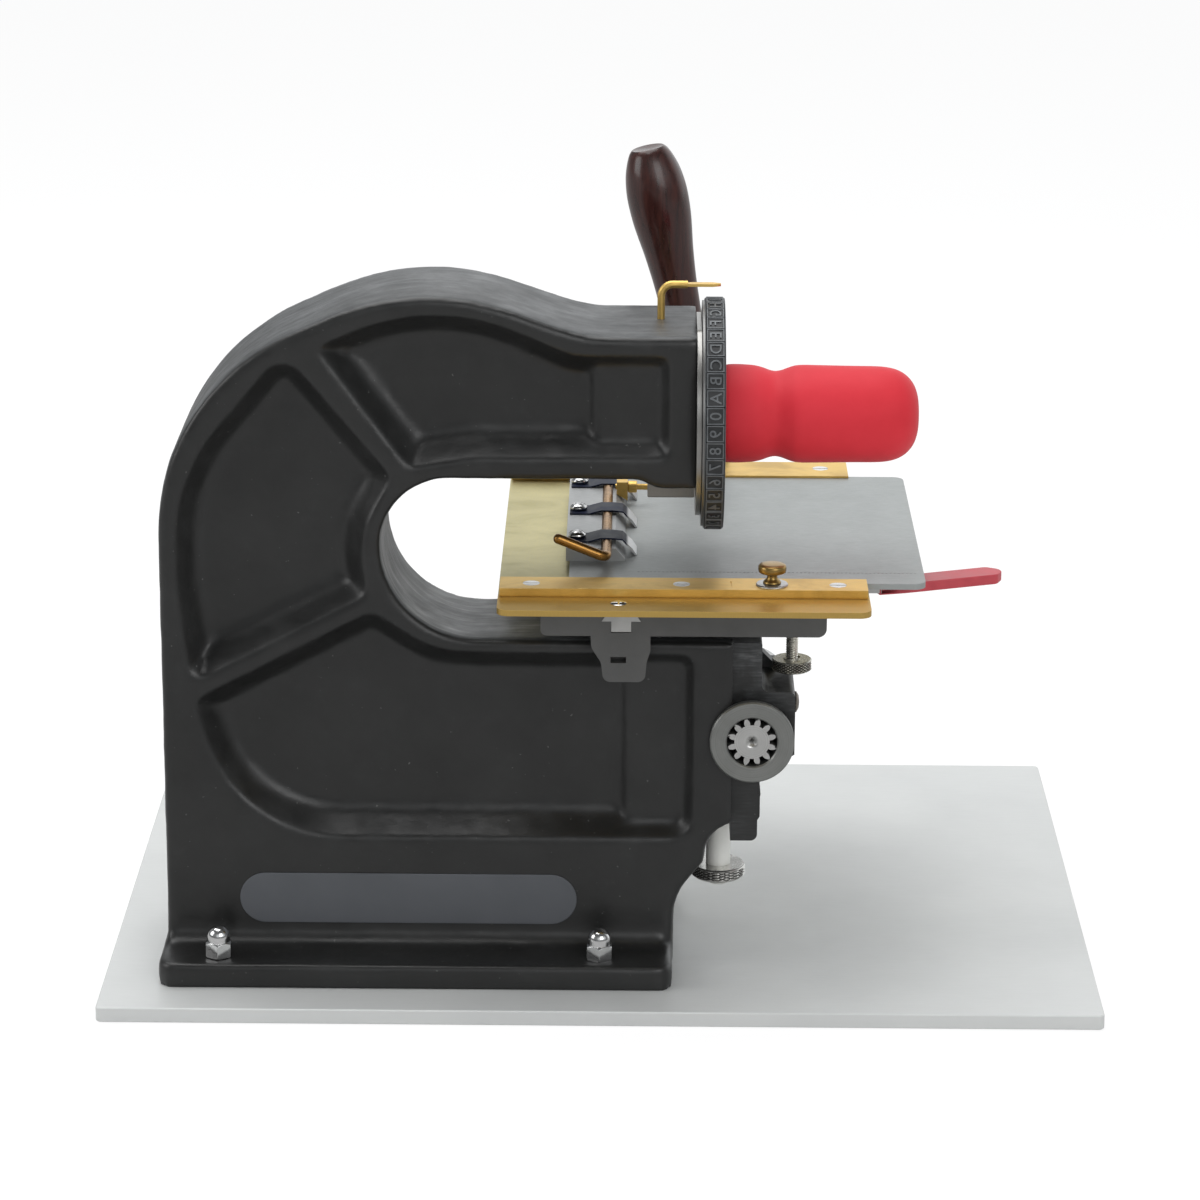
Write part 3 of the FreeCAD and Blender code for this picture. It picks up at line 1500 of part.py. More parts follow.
def index_block():
    """The steel block under the head that guides the detent plunger."""
    x0 = index_block_left
    x1 = index_block_right
    w = index_block_width / 2
    block = box(x0, x1, mid_y - w, mid_y + w, index_block_bottom, head_boss_bottom)
    rims = [e for e in block.Edges if e.BoundBox.ZMax < index_block_bottom + 0.01]
    block = block.makeChamfer(0.6, rims)
    block = block.cut(rod("x", (mid_y, detent_z()), detent_diameter / 2 + turn_fit, x0 + 5.0, x1 + 1))
    for x, y in index_screw_places():
        block = block.cut(rod("z", (x, y), 2.5, index_block_bottom - 1, head_boss_bottom + 1))
        block = block.cut(rod("z", (x, y), 4.4, index_block_bottom - 1, index_block_bottom + 4.8))
    return block


def index_block_screws():
    screws = []
    for x, y in index_screw_places():
        head = rod("z", (x, y), 4.2, index_block_bottom + 0.5, index_block_bottom + 4.8)
        shank = rod("z", (x, y), 2.5, index_block_bottom + 4.7, head_boss_bottom + 13)
        socket = rod("z", (x, y), 2.0, index_block_bottom, index_block_bottom + 2.8)
        screws.append(fused([head, shank]).cut(socket))
    return group(screws)


def detent_plunger():
    """The round-nosed pin that drops into the index wheel's holes."""
    r = detent_diameter / 2
    nose = index_back - detent_gap
    barrel = [(-detent_length, 0), (-detent_length, r), (-2.4, r)]
    tip = [(-0.9, r * 0.8), (-0.25, r * 0.45), (0, 0)]
    return spun(barrel + tip, Vector(nose, mid_y, detent_z()), X_AXIS, Z_AXIS)


def detent_spring():
    """The spring behind the plunger, as the plain sleeve that it fills in its blind bore."""
    start = index_block_left + 5.0
    end = index_back - detent_gap - detent_length - detent_travel - 0.2
    tube = rod("x", (mid_y, detent_z()), detent_diameter / 2 - 0.2, start, end)
    return tube.cut(rod("x", (mid_y, detent_z()), detent_diameter / 2 - 0.7, start - 1, end + 1))


def pointer():
    """The bent brass wire that points at the dial's top, with a flattened tip."""
    r = pointer_diameter / 2
    foot = Vector(pointer_x, pointer_y, head_top - 12)
    corner = Vector(pointer_x, pointer_y, pointer_height)
    before = corner - Z_AXIS * pointer_bend
    after = corner + X_AXIS * pointer_bend
    centre = before + X_AXIS * pointer_bend
    middle = centre + (corner - centre).normalize() * pointer_bend
    end = corner + X_AXIS * (41.7 - pointer_x)
    arc = Part.Arc(before, middle, after).toShape()
    path = Part.Wire([Part.makeLine(foot, before), arc, Part.makeLine(after, end)])
    wire = path.makePipeShell([Part.Wire([Part.makeCircle(r, foot, Z_AXIS)])], True, False)
    blade_corners = [
        (end.x - 2.0, pointer_y - r * 0.9, 0.0),
        (end.x + 3.0, pointer_y - 2.4, 0.0),
        (pointer_tip - 4.0, pointer_y - 2.4, 0.0),
        (pointer_tip, pointer_y - 0.6, 0.0),
        (pointer_tip, pointer_y + 0.6, 0.0),
        (pointer_tip - 4.0, pointer_y + 2.4, 0.0),
        (end.x + 3.0, pointer_y + 2.4, 0.0),
        (end.x - 2.0, pointer_y + r * 0.9, 0.0),
    ]
    blade = slab(blade_corners, in_xy(pointer_height - 0.7), Vector(0, 0, 1.4))
    return fused([wire, blade])


def main():
    export("base_plate", base_plate())
    export("foot_screws", group([foot_stud(x, y) for x, y in stud_places()]))
    export("acorn_nuts", group([acorn_nut(x, y) for x, y in stud_places()]))
    export("frame_casting", frame_casting())
    export("label_plate", label_plate())
    export("pinion_cap", pinion_cap())
    export("cap_screws", cap_screws())
    export("bushing_screw", bushing_screw())
    export("near_bushing", near_bushing())
    export("far_bushing", far_bushing())
    export("pinion_shaft", pinion_shaft())
    export("shaft_collar", shaft_collar())
    export("collar_set_screw", collar_set_screw())
    export("lever_arm", lever_arm())
    export("lever_pin", lever_pin())
    export("handle_ferrule", ferrule())
    export("wooden_handle", wooden_handle())
    export("ram_rack", ram())
    export("table_screw", table_screw())
    export("stop_collar", stop_collar())
    export("table_casting", table_casting())
    export("thumb_screw", thumb_screw())
    export("runner_bar", runner_bar())
    export("carriage_plate", carriage_plate())
    export("front_strip", front_strip())
    export("far_strip", far_strip())
    export("strip_screws", strip_screws())
    export("runner_screws", runner_screws())
    export("spacing_rack", spacing_rack())
    export("rack_screws", rack_screws())
    export("tag_plate", tag_plate())
    export("clip_block", clip_block())
    export("cam_rod", cam_rod())
    export("clip_springs", clip_springs())
    export("clip_screws", clip_screws())
    export("stop_block", stop_block())
    export("stop_screw", stop_screw())
    export("knob_washer", knob_washer())
    export("lock_knob", lock_knob())
    export("release_lever", release_lever())
    export("release_sleeve", release_sleeve())
    export("release_pivot", release_pivot())
    export("dial_wheel", dial_wheel())
    export("type_tiles", type_tiles())
    export("index_wheel", index_wheel())
    export("dial_shaft", dial_shaft())
    export("dial_bushing", dial_bushing())
    export("dial_grip", dial_grip())
    export("retaining_screw", retaining_screw())
    export("cover_plate", cover_plate())
    export("cover_screws", cover_screws())
    export("index_block", index_block())
    export("index_block_screws", index_block_screws())
    export("detent_plunger", detent_plunger())
    export("detent_spring", detent_spring())
    export("pointer", pointer())


main()
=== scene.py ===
import json
import math

import bpy
from mathutils import Matrix, Vector, noise
from mathutils.bvhtree import BVHTree


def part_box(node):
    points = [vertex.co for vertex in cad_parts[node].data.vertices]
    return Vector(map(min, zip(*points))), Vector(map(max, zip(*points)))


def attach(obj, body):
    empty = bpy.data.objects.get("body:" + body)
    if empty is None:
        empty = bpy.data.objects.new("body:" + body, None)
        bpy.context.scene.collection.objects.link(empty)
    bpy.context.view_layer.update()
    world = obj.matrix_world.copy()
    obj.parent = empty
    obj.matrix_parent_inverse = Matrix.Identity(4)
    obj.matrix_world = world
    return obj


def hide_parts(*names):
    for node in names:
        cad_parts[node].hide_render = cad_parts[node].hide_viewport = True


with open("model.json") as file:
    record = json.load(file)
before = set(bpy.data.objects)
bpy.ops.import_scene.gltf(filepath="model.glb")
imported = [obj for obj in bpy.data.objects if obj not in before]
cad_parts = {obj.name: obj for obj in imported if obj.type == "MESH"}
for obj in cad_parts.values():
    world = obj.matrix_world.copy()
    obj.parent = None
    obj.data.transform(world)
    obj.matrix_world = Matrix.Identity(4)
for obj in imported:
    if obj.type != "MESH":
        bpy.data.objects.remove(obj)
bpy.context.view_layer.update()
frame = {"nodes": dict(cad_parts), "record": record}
mm = 0.001
bpy.context.scene.view_settings.view_transform = "Standard"
print("frame loaded:", len(frame["nodes"]), "nodes")


# camera, fitted to the base plate's corners and the round parts of the machine
camera = {
    "place": (0.0149, -2.1725, 0.8307),
    "lens": 127.5,
    "yaw": -0.454,      # degrees, turned to the left when negative
    "pitch": 17.01,     # degrees down
    "roll": 0.284,
}


def makeCamera():
    yaw = math.radians(camera["yaw"])
    pitch = math.radians(camera["pitch"])
    roll = math.radians(camera["roll"])
    ahead = Vector((math.sin(yaw) * math.cos(pitch), math.cos(yaw) * math.cos(pitch), -math.sin(pitch)))
    right = Vector((math.cos(yaw), -math.sin(yaw), 0))
    up = right.cross(ahead)
    turnedRight = right * math.cos(roll) + up * math.sin(roll)
    turnedUp = up * math.cos(roll) - right * math.sin(roll)
    data = bpy.data.cameras.new("viewCamera")
    data.lens = camera["lens"]
    data.sensor_width = 36
    data.clip_end = 20
    eye = bpy.data.objects.new("viewCamera", data)
    bpy.context.scene.collection.objects.link(eye)
    turn = Matrix((turnedRight, turnedUp, -ahead)).transposed()
    eye.matrix_world = Matrix.Translation(camera["place"]) @ turn.to_4x4()
    bpy.context.scene.camera = eye


makeCamera()
print("camera placed")


# selecting, copying and smoothing

def onlySelect(piece):
    if bpy.context.object and bpy.context.object.mode != "OBJECT":
        bpy.ops.object.mode_set(mode="OBJECT")
    bpy.ops.object.select_all(action="DESELECT")
    piece.select_set(True)
    bpy.context.view_layer.objects.active = piece


def applyModifiers(piece):
    onlySelect(piece)
    for modifier in list(piece.modifiers):
        bpy.ops.object.modifier_apply(modifier=modifier.name)


def openMesh(piece, choice="SELECT"):
    onlySelect(piece)
    bpy.ops.object.mode_set(mode="EDIT")
    bpy.ops.mesh.select_all(action=choice)


def closeMesh():
    bpy.ops.object.mode_set(mode="OBJECT")


def cleanCopy(node, name):
    # a CAD node's triangles as one joined mesh, ready to be smoothed
    piece = bpy.data.objects.new(name, frame["nodes"][node].data.copy())
    bpy.context.scene.collection.objects.link(piece)
    openMesh(piece)
    bpy.ops.mesh.remove_doubles(threshold=0.000002)
    closeMesh()
    return piece


def flattenFaces(piece, degrees=0.6):
    openMesh(piece)
    bpy.ops.mesh.dissolve_limited(angle_limit=math.radians(degrees))
    closeMesh()


def softenEdges(piece, width, segments=2, angle=30):
    bevel = piece.modifiers.new("edgeRound", "BEVEL")
    bevel.width = width
    bevel.segments = segments
    bevel.limit_method = "ANGLE"
    bevel.angle_limit = math.radians(angle)
    bevel.use_clamp_overlap = True
    applyModifiers(piece)


def smoothShade(piece, angle=35, evenFaces=True):
    # evenFaces keeps large flat faces flat where small rounds meet them
    onlySelect(piece)
    bpy.ops.object.shade_smooth_by_angle(angle=math.radians(angle))
    if evenFaces:
        even = piece.modifiers.new("evenFaces", "WEIGHTED_NORMAL")
        even.keep_sharp = True
        even.weight = 90
        applyModifiers(piece)


def joinPieces(pieces, name):
    onlySelect(pieces[0])
    for piece in pieces[1:]:
        piece.select_set(True)
    bpy.ops.object.join()
    pieces[0].name = name
    return pieces[0]


def settlePlace(piece):
    onlySelect(piece)
    bpy.ops.object.transform_apply(location=True, rotation=True, scale=True)


def turnedPiece(name, rings, centre, sides):
    # rings are (radius, height) in mm from the lowest up, each one extruded from the one before
    radius, height = rings[0]
    foot = (centre[0], centre[1], centre[2] + height * mm)
    bpy.ops.mesh.primitive_circle_add(vertices=sides, radius=radius * mm, fill_type="NGON", location=foot)
    piece = bpy.context.object
    piece.name = name
    bpy.ops.object.mode_set(mode="EDIT")
    for nextRadius, nextHeight in rings[1:]:
        rise = (nextHeight - height) * mm
        share = nextRadius / radius
        bpy.ops.mesh.extrude_region_move(TRANSFORM_OT_translate={"value": (0, 0, rise)})
        bpy.ops.transform.resize(value=(share, share, 1), center_override=centre)
        radius, height = nextRadius, nextHeight
    bpy.ops.mesh.select_all(action="SELECT")
    bpy.ops.mesh.normals_make_consistent(inside=False)
    closeMesh()
    settlePlace(piece)
    return piece


def curvedRings(corners, steps):
    # a smooth run of rings through the corners, as a turner would blend them
    rings = []
    last = len(corners) - 1
    for i in range(last):
        before, start, end, after = (corners[max(0, min(last, k))] for k in (i - 1, i, i + 1, i + 2))
        for j in range(steps):
            t = j / steps
            ring = []
            for a, b, c, d in zip(before, start, end, after):
                bend = (2 * a - 5 * b + 4 * c - d) * t * t + (3 * b - a - 3 * c + d) * t * t * t
                ring.append(b + 0.5 * ((c - a) * t + bend))
            rings.append(tuple(ring))
    return rings + [corners[-1]]


def cutAway(piece, cutter):
    cut = piece.modifiers.new("cutAway", "BOOLEAN")
    cut.operation = "DIFFERENCE"
    cut.solver = "EXACT"
    cut.object = cutter
    applyModifiers(piece)
    bpy.data.objects.remove(cutter)


def finishPiece(piece, material, body, nodes=()):
    piece.data.materials.clear()
    piece.data.materials.append(material)
    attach(piece, body)
    if nodes:
        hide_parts(*nodes)
    return piece


# material building blocks

def startMaterial(name):
    material = bpy.data.materials.new(name)
    material.use_nodes = True
    tree = material.node_tree
    tree.nodes.clear()
    output = tree.nodes.new("ShaderNodeOutputMaterial")
    shader = tree.nodes.new("ShaderNodeBsdfPrincipled")
    tree.links.new(shader.outputs["BSDF"], output.inputs["Surface"])
    coords = tree.nodes.new("ShaderNodeTexCoord").outputs["Object"]
    return material, tree, shader, coords


def feed(shader, socket, value):
    shader.id_data.links.new(value, shader.inputs[socket])


def mapped(tree, coords, scale=(1, 1, 1), turn=(0, 0, 0), shift=(0, 0, 0)):
    mapping = tree.nodes.new("ShaderNodeMapping")
    mapping.inputs["Scale"].default_value = scale
    mapping.inputs["Rotation"].default_value = turn
    mapping.inputs["Location"].default_value = shift
    tree.links.new(coords, mapping.inputs["Vector"])
    return mapping.outputs["Vector"]


def noiseMap(tree, coords, scale, detail=4, rough=0.5, distortion=0):
    texture = tree.nodes.new("ShaderNodeTexNoise")
    texture.inputs["Scale"].default_value = scale
    texture.inputs["Detail"].default_value = detail
    texture.inputs["Roughness"].default_value = rough
    texture.inputs["Distortion"].default_value = distortion
    tree.links.new(coords, texture.inputs["Vector"])
    return texture.outputs["Fac"]


def spread(tree, value, low, high, fromLow=0.3, fromHigh=0.7):
    node = tree.nodes.new("ShaderNodeMapRange")
    node.inputs["From Min"].default_value = fromLow
    node.inputs["From Max"].default_value = fromHigh
    node.inputs["To Min"].default_value = low
    node.inputs["To Max"].default_value = high
    tree.links.new(value, node.inputs["Value"])
    return node.outputs["Result"]


def colourRamp(tree, value, stops):
    node = tree.nodes.new("ShaderNodeValToRGB")
    ramp = node.color_ramp
    while len(ramp.elements) < len(stops):
        ramp.elements.new(0.5)
    for element, (place, colour) in zip(ramp.elements, stops):
        element.position = place
        element.color = (*colour, 1)
    tree.links.new(value, node.inputs["Fac"])
    return node.outputs["Color"]


def blendColours(tree, share, first, second, mode="MIX"):
    node = tree.nodes.new("ShaderNodeMix")
    node.data_type = "RGBA"
    node.blend_type = mode
    sockets = [s for s in node.inputs if s.enabled]
    for socket, source in zip(sockets, (share, first, second)):
        if isinstance(source, (int, float)):
            socket.default_value = source
        elif isinstance(source, tuple):
            socket.default_value = (*source, 1)
        else:
            tree.links.new(source, socket)
    return [s for s in node.outputs if s.enabled][0]


def maths(tree, operation, first, second=0.0):
    node = tree.nodes.new("ShaderNodeMath")
    node.operation = operation
    for socket, source in zip(node.inputs, (first, second)):
        if isinstance(source, (int, float)):
            socket.default_value = source
        else:
            tree.links.new(source, socket)
    return node.outputs["Value"]


def splitAxes(tree, coords):
    node = tree.nodes.new("ShaderNodeSeparateXYZ")
    tree.links.new(coords, node.inputs["Vector"])
    return node.outputs


def axisDistance(tree, coords, centre, axis):
    parts = splitAxes(tree, mapped(tree, coords, shift=tuple(-c for c in centre)))
    across = [part for part, letter in zip(parts, "xyz") if letter != axis]
    squares = [maths(tree, "MULTIPLY", part, part) for part in across]
    return maths(tree, "SQRT", maths(tree, "ADD", *squares))


def ringNoise(tree, coords, centre, axis, perMetre):
    # uneven turning marks round an axis through centre
    texture = tree.nodes.new("ShaderNodeTexNoise")
    texture.noise_dimensions = "1D"
    texture.inputs["Scale"].default_value = perMetre
    texture.inputs["Detail"].default_value = 3
    tree.links.new(axisDistance(tree, coords, centre, axis), texture.inputs["W"])
    return texture.outputs["Fac"]


def facingAxis(tree, axis):
    # 1 where the surface faces along the axis, either way
    facing = tree.nodes.new("ShaderNodeNewGeometry").outputs["Normal"]
    return maths(tree, "ABSOLUTE", splitAxes(tree, facing)[axis])


def bumpFrom(tree, shader, layers):
    # layers are (height, strength, distance in metres), deepest first
    normal = None
    for height, strength, distance in layers:
        bump = tree.nodes.new("ShaderNodeBump")
        bump.inputs["Strength"].default_value = strength
        bump.inputs["Distance"].default_value = distance
        tree.links.new(height, bump.inputs["Height"])
        if normal:
            tree.links.new(normal, bump.inputs["Normal"])
        normal = bump.outputs["Normal"]
    feed(shader, "Normal", normal)


# finishes of the machine

dialCentre = (0.0553, -0.091, 0.2931)
pinionCentre = (0.0762, -0.133, 0.1315)
typeRadius = 58.6
handleLean = 11.9
castingTones = [(0.0078, 0.0079, 0.0077), (0.0138, 0.014, 0.0136)]
# colour of painted glints: tiny light specks standing for highlights off the pebbled paint
glintSpeck = (0.07, 0.07, 0.068)
filedMetal = [
    (0.32, (0.026, 0.028, 0.029)), (0.5, (0.068, 0.072, 0.075)), (0.64, (0.14, 0.146, 0.15)),
    (0.8, (0.30, 0.305, 0.30)),
]
# where one finish passes into another, in metres along the axis that it reads
finishPlaces = {
    "bandFoot": (0.06, 0.09),           # bare metal comes in above the foot
    "bandBack": (-0.2, -0.06),          # and is strongest on the back of the arch
    "throatBack": (-0.165, -0.14),
    "throatTop": (0.27, 0.29),
    "capFace": (0.135, 0.168),          # filed upper part of the pinion cap
    "brassLedge": (-0.151, -0.145),     # ledge in front of the strip
    "springNose": (0.0115, 0.0128),     # ground end of the clip springs
}


def blackPaint(name, dark, light, wear):
    # wear(tree, coords) gives how much bare filed metal shows, and the marks left in it
    material, tree, shader, coords = startMaterial(name)
    blotches = noiseMap(tree, coords, 22, 5, 0.6)
    paint = colourRamp(tree, blotches, [(0.3, dark), (0.7, light)])
    # painted glints: small light specks scattered over the paint
    glintSpecks = spread(tree, noiseMap(tree, coords, 420, 2, 0.5), 0, 1, 0.73, 0.77)
    paint = blendColours(tree, glintSpecks, paint, glintSpeck)
    worn, marks = wear(tree, coords)
    metal = colourRamp(tree, marks, filedMetal)
    feed(shader, "Base Color", blendColours(tree, worn, paint, metal))
    rough = spread(tree, noiseMap(tree, coords, 60, 5, 0.6), 0.3, 0.46)
    rough = maths(tree, "ADD", rough, maths(tree, "MULTIPLY", worn, 0.1))
    feed(shader, "Roughness", rough)
    lumps = noiseMap(tree, coords, 75, 3, 0.5)
    pebbles = noiseMap(tree, coords, 700, 3, 0.6)
    files = maths(tree, "MULTIPLY", marks, worn)
    bumpFrom(tree, shader, [(lumps, 0.3, 0.001), (pebbles, 0.22, 0.0002), (files, 0.35, 0.0005)])
    return material


def bandWear(tree, coords):
    # file marks along the outer bands, strongest on the back of the arch and brightest in the throat
    band = spread(tree, facingAxis(tree, 1), 1, 0, 0.3, 0.55)
    parts = splitAxes(tree, coords)
    foot = spread(tree, parts[2], 0, 1, *finishPlaces["bandFoot"])
    back = spread(tree, parts[0], 0.95, 0.55, *finishPlaces["bandBack"])
    patches = spread(tree, noiseMap(tree, coords, 12, 4, 0.6), 0.4, 1.15, 0.35, 0.62)
    outside = maths(tree, "MULTIPLY", band, foot)
    share = maths(tree, "MULTIPLY", outside, maths(tree, "MULTIPLY", back, patches))
    behind = spread(tree, parts[0], 0, 1, *finishPlaces["throatBack"])
    under = spread(tree, parts[2], 1, 0, *finishPlaces["throatTop"])
    throat = maths(tree, "MULTIPLY", behind, under)
    marks = noiseMap(tree, mapped(tree, coords, (1, 10, 1)), 27, 8, 0.74, 0.3)
    marks = maths(tree, "ADD", marks, maths(tree, "MULTIPLY", throat, 0.13))
    return share, marks


def faceWear(tree, coords):
    # file marks across a machined face, strongest on its upper part
    height = spread(tree, splitAxes(tree, coords)[2], 0.1, 0.7, *finishPlaces["capFace"])
    patches = spread(tree, noiseMap(tree, coords, 45, 4, 0.6), 0.1, 1.1, 0.38, 0.64)
    marks = noiseMap(tree, mapped(tree, coords, (2.5, 2.5, 26), (0, 0.12, 0)), 30, 6, 0.62, 0.5)
    return maths(tree, "MULTIPLY", height, patches), marks


def fewMarks(tree, coords):
    # hardly any wear, only a faint unevenness
    patches = spread(tree, noiseMap(tree, coords, 60, 4, 0.6), 0, 0.04, 0.5, 0.75)
    return patches, noiseMap(tree, coords, 90, 5, 0.6)


def millPlate():
    material, tree, shader, coords = startMaterial("millPlate")
    clouds = noiseMap(tree, coords, 7, 5, 0.55)
    colour = colourRamp(tree, clouds, [(0.3, (0.58, 0.59, 0.585)), (0.7, (0.66, 0.67, 0.66))])
    feed(shader, "Base Color", colour)
    shader.inputs["Metallic"].default_value = 0.3
    fine = noiseMap(tree, mapped(tree, coords, (1, 14, 1)), 90, 6, 0.6)
    feed(shader, "Roughness", spread(tree, fine, 0.42, 0.6))
    scratches = noiseMap(tree, mapped(tree, coords, (3, 80, 3)), 60, 3, 0.6)
    bumpFrom(tree, shader, [(clouds, 0.15, 0.001), (scratches, 0.12, 0.0001)])
    return material


def machinedSteel(name, tone, rough, grain=(1, 1, 1), metallic=1.0, contrast=0.15):
    material, tree, shader, coords = startMaterial(name)
    shade = noiseMap(tree, coords, 55, 5, 0.6)
    light = tuple(min(1, c * (1 + contrast)) for c in tone)
    dark = tuple(c * (1 - contrast) for c in tone)
    feed(shader, "Base Color", colourRamp(tree, shade, [(0.3, dark), (0.7, light)]))
    shader.inputs["Metallic"].default_value = metallic
    lines = noiseMap(tree, mapped(tree, coords, grain), 260, 5, 0.65)
    feed(shader, "Roughness", spread(tree, lines, rough * 0.8, rough * 1.3))
    bumpFrom(tree, shader, [(lines, 0.25, 0.00012)])
    return material


def ringTurnedSteel(name, tone, rough, centre, axis):
    material, tree, shader, coords = startMaterial(name)
    marks = ringNoise(tree, coords, centre, axis, 1800)
    shade = noiseMap(tree, coords, 70, 4, 0.6)
    dark = tuple(c * 0.9 for c in tone)
    light = tuple(min(1, c * 1.08) for c in tone)
    colour = colourRamp(tree, marks, [(0.3, dark), (0.7, light)])
    colour = blendColours(tree, 1.0, colour, spread(tree, shade, 0.88, 1.06), "MULTIPLY")
    feed(shader, "Base Color", colour)
    shader.inputs["Metallic"].default_value = 0.9
    feed(shader, "Roughness", spread(tree, marks, rough * 0.85, rough * 1.2))
    bumpFrom(tree, shader, [(marks, 0.35, 0.00015)])
    return material


def knurledSteel(name, tone, valleyShade, rough, centre, radius, depth):
    # a knurled rim round a vertical axis, with painted shade darkening the valleys between its diamonds
    material, tree, shader, coords = startMaterial(name)
    shade = noiseMap(tree, coords, 90, 5, 0.6)
    metal = colourRamp(tree, shade, [(0.3, tuple(c * 0.8 for c in tone)), (0.7, tone)])
    rim = spread(tree, facingAxis(tree, 2), 1, 0, 0.6, 0.9)
    distance = axisDistance(tree, coords, centre, "z")
    deepShade = spread(tree, distance, 1, 0, (radius - depth * 0.95) * mm, (radius - depth * 0.25) * mm)
    outer = spread(tree, distance, 0, 1, (radius - depth * 1.6) * mm, (radius - depth * 1.3) * mm)
    # painted shade: the deep parts of the knurled side take the dark valley colour
    dark = maths(tree, "MULTIPLY", maths(tree, "MULTIPLY", rim, deepShade), outer)
    feed(shader, "Base Color", blendColours(tree, dark, metal, valleyShade))
    shader.inputs["Metallic"].default_value = 0.85
    feed(shader, "Roughness", spread(tree, shade, rough * 0.8, rough * 1.2))
    bumpFrom(tree, shader, [(noiseMap(tree, coords, 900, 4, 0.6), 0.15, 0.0001)])
    return material


def brassFinish(name, tone, stain, rough, grain, edgeTone=None):
    # edgeTone is the richer colour of the ledge in front of the strip
    material, tree, shader, coords = startMaterial(name)
    blotches = noiseMap(tree, mapped(tree, coords, (1, 1.6, 1)), 24, 5, 0.62, 0.6)
    bright = tuple(min(1, c * 1.12) for c in tone)
    colour = colourRamp(tree, blotches, [(0.32, stain), (0.5, tone), (0.72, bright)])
    if edgeTone:
        ledge = spread(tree, splitAxes(tree, coords)[1], 1, 0, *finishPlaces["brassLedge"])
        colour = blendColours(tree, ledge, colour, edgeTone)
    lines = noiseMap(tree, mapped(tree, coords, grain), 240, 5, 0.65)
    colour = blendColours(tree, 1.0, colour, spread(tree, lines, 0.9, 1.08), "MULTIPLY")
    feed(shader, "Base Color", colour)
    shader.inputs["Metallic"].default_value = 0.9
    feed(shader, "Roughness", spread(tree, lines, rough * 0.85, rough * 1.2))
    bumpFrom(tree, shader, [(lines, 0.25, 0.00012), (blotches, 0.06, 0.0006)])
    return material


def bluedSpring():
    # blue-black along the strap, ground bright at the bent nose
    material, tree, shader, coords = startMaterial("bluedSpring")
    shade = noiseMap(tree, coords, 140, 4, 0.6)
    blue = colourRamp(tree, shade, [(0.3, (0.006, 0.008, 0.018)), (0.7, (0.014, 0.019, 0.040))])
    nose = spread(tree, splitAxes(tree, coords)[0], 0, 1, *finishPlaces["springNose"])
    feed(shader, "Base Color", blendColours(tree, nose, blue, (0.58, 0.58, 0.58)))
    feed(shader, "Metallic", spread(tree, nose, 0, 0.9, 0, 1))
    shader.inputs["Specular IOR Level"].default_value = 0.08
    feed(shader, "Roughness", spread(tree, shade, 0.32, 0.46))
    bumpFrom(tree, shader, [(noiseMap(tree, coords, 500, 3), 0.1, 0.0001)])
    return material


def softRubber():
    material, tree, shader, coords = startMaterial("softRubber")
    clouds = noiseMap(tree, coords, 26, 4, 0.6)
    colour = colourRamp(tree, clouds, [(0.3, (0.57, 0.018, 0.030)), (0.7, (0.65, 0.027, 0.043))])
    feed(shader, "Base Color", colour)
    shader.inputs["Roughness"].default_value = 0.62
    shader.inputs["Specular IOR Level"].default_value = 0.28
    shader.inputs["Sheen Weight"].default_value = 0.06
    shader.inputs["Sheen Roughness"].default_value = 0.5
    skin = noiseMap(tree, coords, 1400, 3, 0.6)
    dents = noiseMap(tree, coords, 110, 3, 0.5)
    bumpFrom(tree, shader, [(dents, 0.12, 0.0008), (skin, 0.25, 0.00018)])
    return material


def dippedVinyl():
    material, tree, shader, coords = startMaterial("dippedVinyl")
    clouds = noiseMap(tree, coords, 60, 4, 0.6)
    colour = colourRamp(tree, clouds, [(0.3, (0.40, 0.035, 0.05)), (0.7, (0.50, 0.055, 0.07))])
    feed(shader, "Base Color", colour)
    feed(shader, "Roughness", spread(tree, clouds, 0.34, 0.46))
    bumpFrom(tree, shader, [(noiseMap(tree, coords, 260, 3), 0.15, 0.0003)])
    return material


def lacqueredWood(lean):
    material, tree, shader, coords = startMaterial("lacqueredWood")
    along = mapped(tree, coords, (9, 9, 0.55), (0, lean, 0))
    streaks = noiseMap(tree, along, 34, 6, 0.62, 0.8)
    colour = colourRamp(tree, streaks, [
        (0.28, (0.014, 0.005, 0.004)), (0.5, (0.034, 0.009, 0.007)), (0.74, (0.062, 0.016, 0.011))])
    feed(shader, "Base Color", colour)
    feed(shader, "Roughness", spread(tree, streaks, 0.24, 0.36))
    shader.inputs["Specular IOR Level"].default_value = 0.4
    shader.inputs["Coat Weight"].default_value = 0.25
    shader.inputs["Coat Roughness"].default_value = 0.12
    bumpFrom(tree, shader, [(streaks, 0.12, 0.0004)])
    return material


def labelFilm():
    material, tree, shader, coords = startMaterial("labelFilm")
    clouds = noiseMap(tree, coords, 40, 4, 0.5)
    colour = colourRamp(tree, clouds, [(0.3, (0.068, 0.073, 0.082)), (0.7, (0.080, 0.085, 0.095))])
    feed(shader, "Base Color", colour)
    feed(shader, "Roughness", spread(tree, clouds, 0.4, 0.5))
    bumpFrom(tree, shader, [(noiseMap(tree, coords, 1200, 2), 0.06, 0.0001)])
    return material


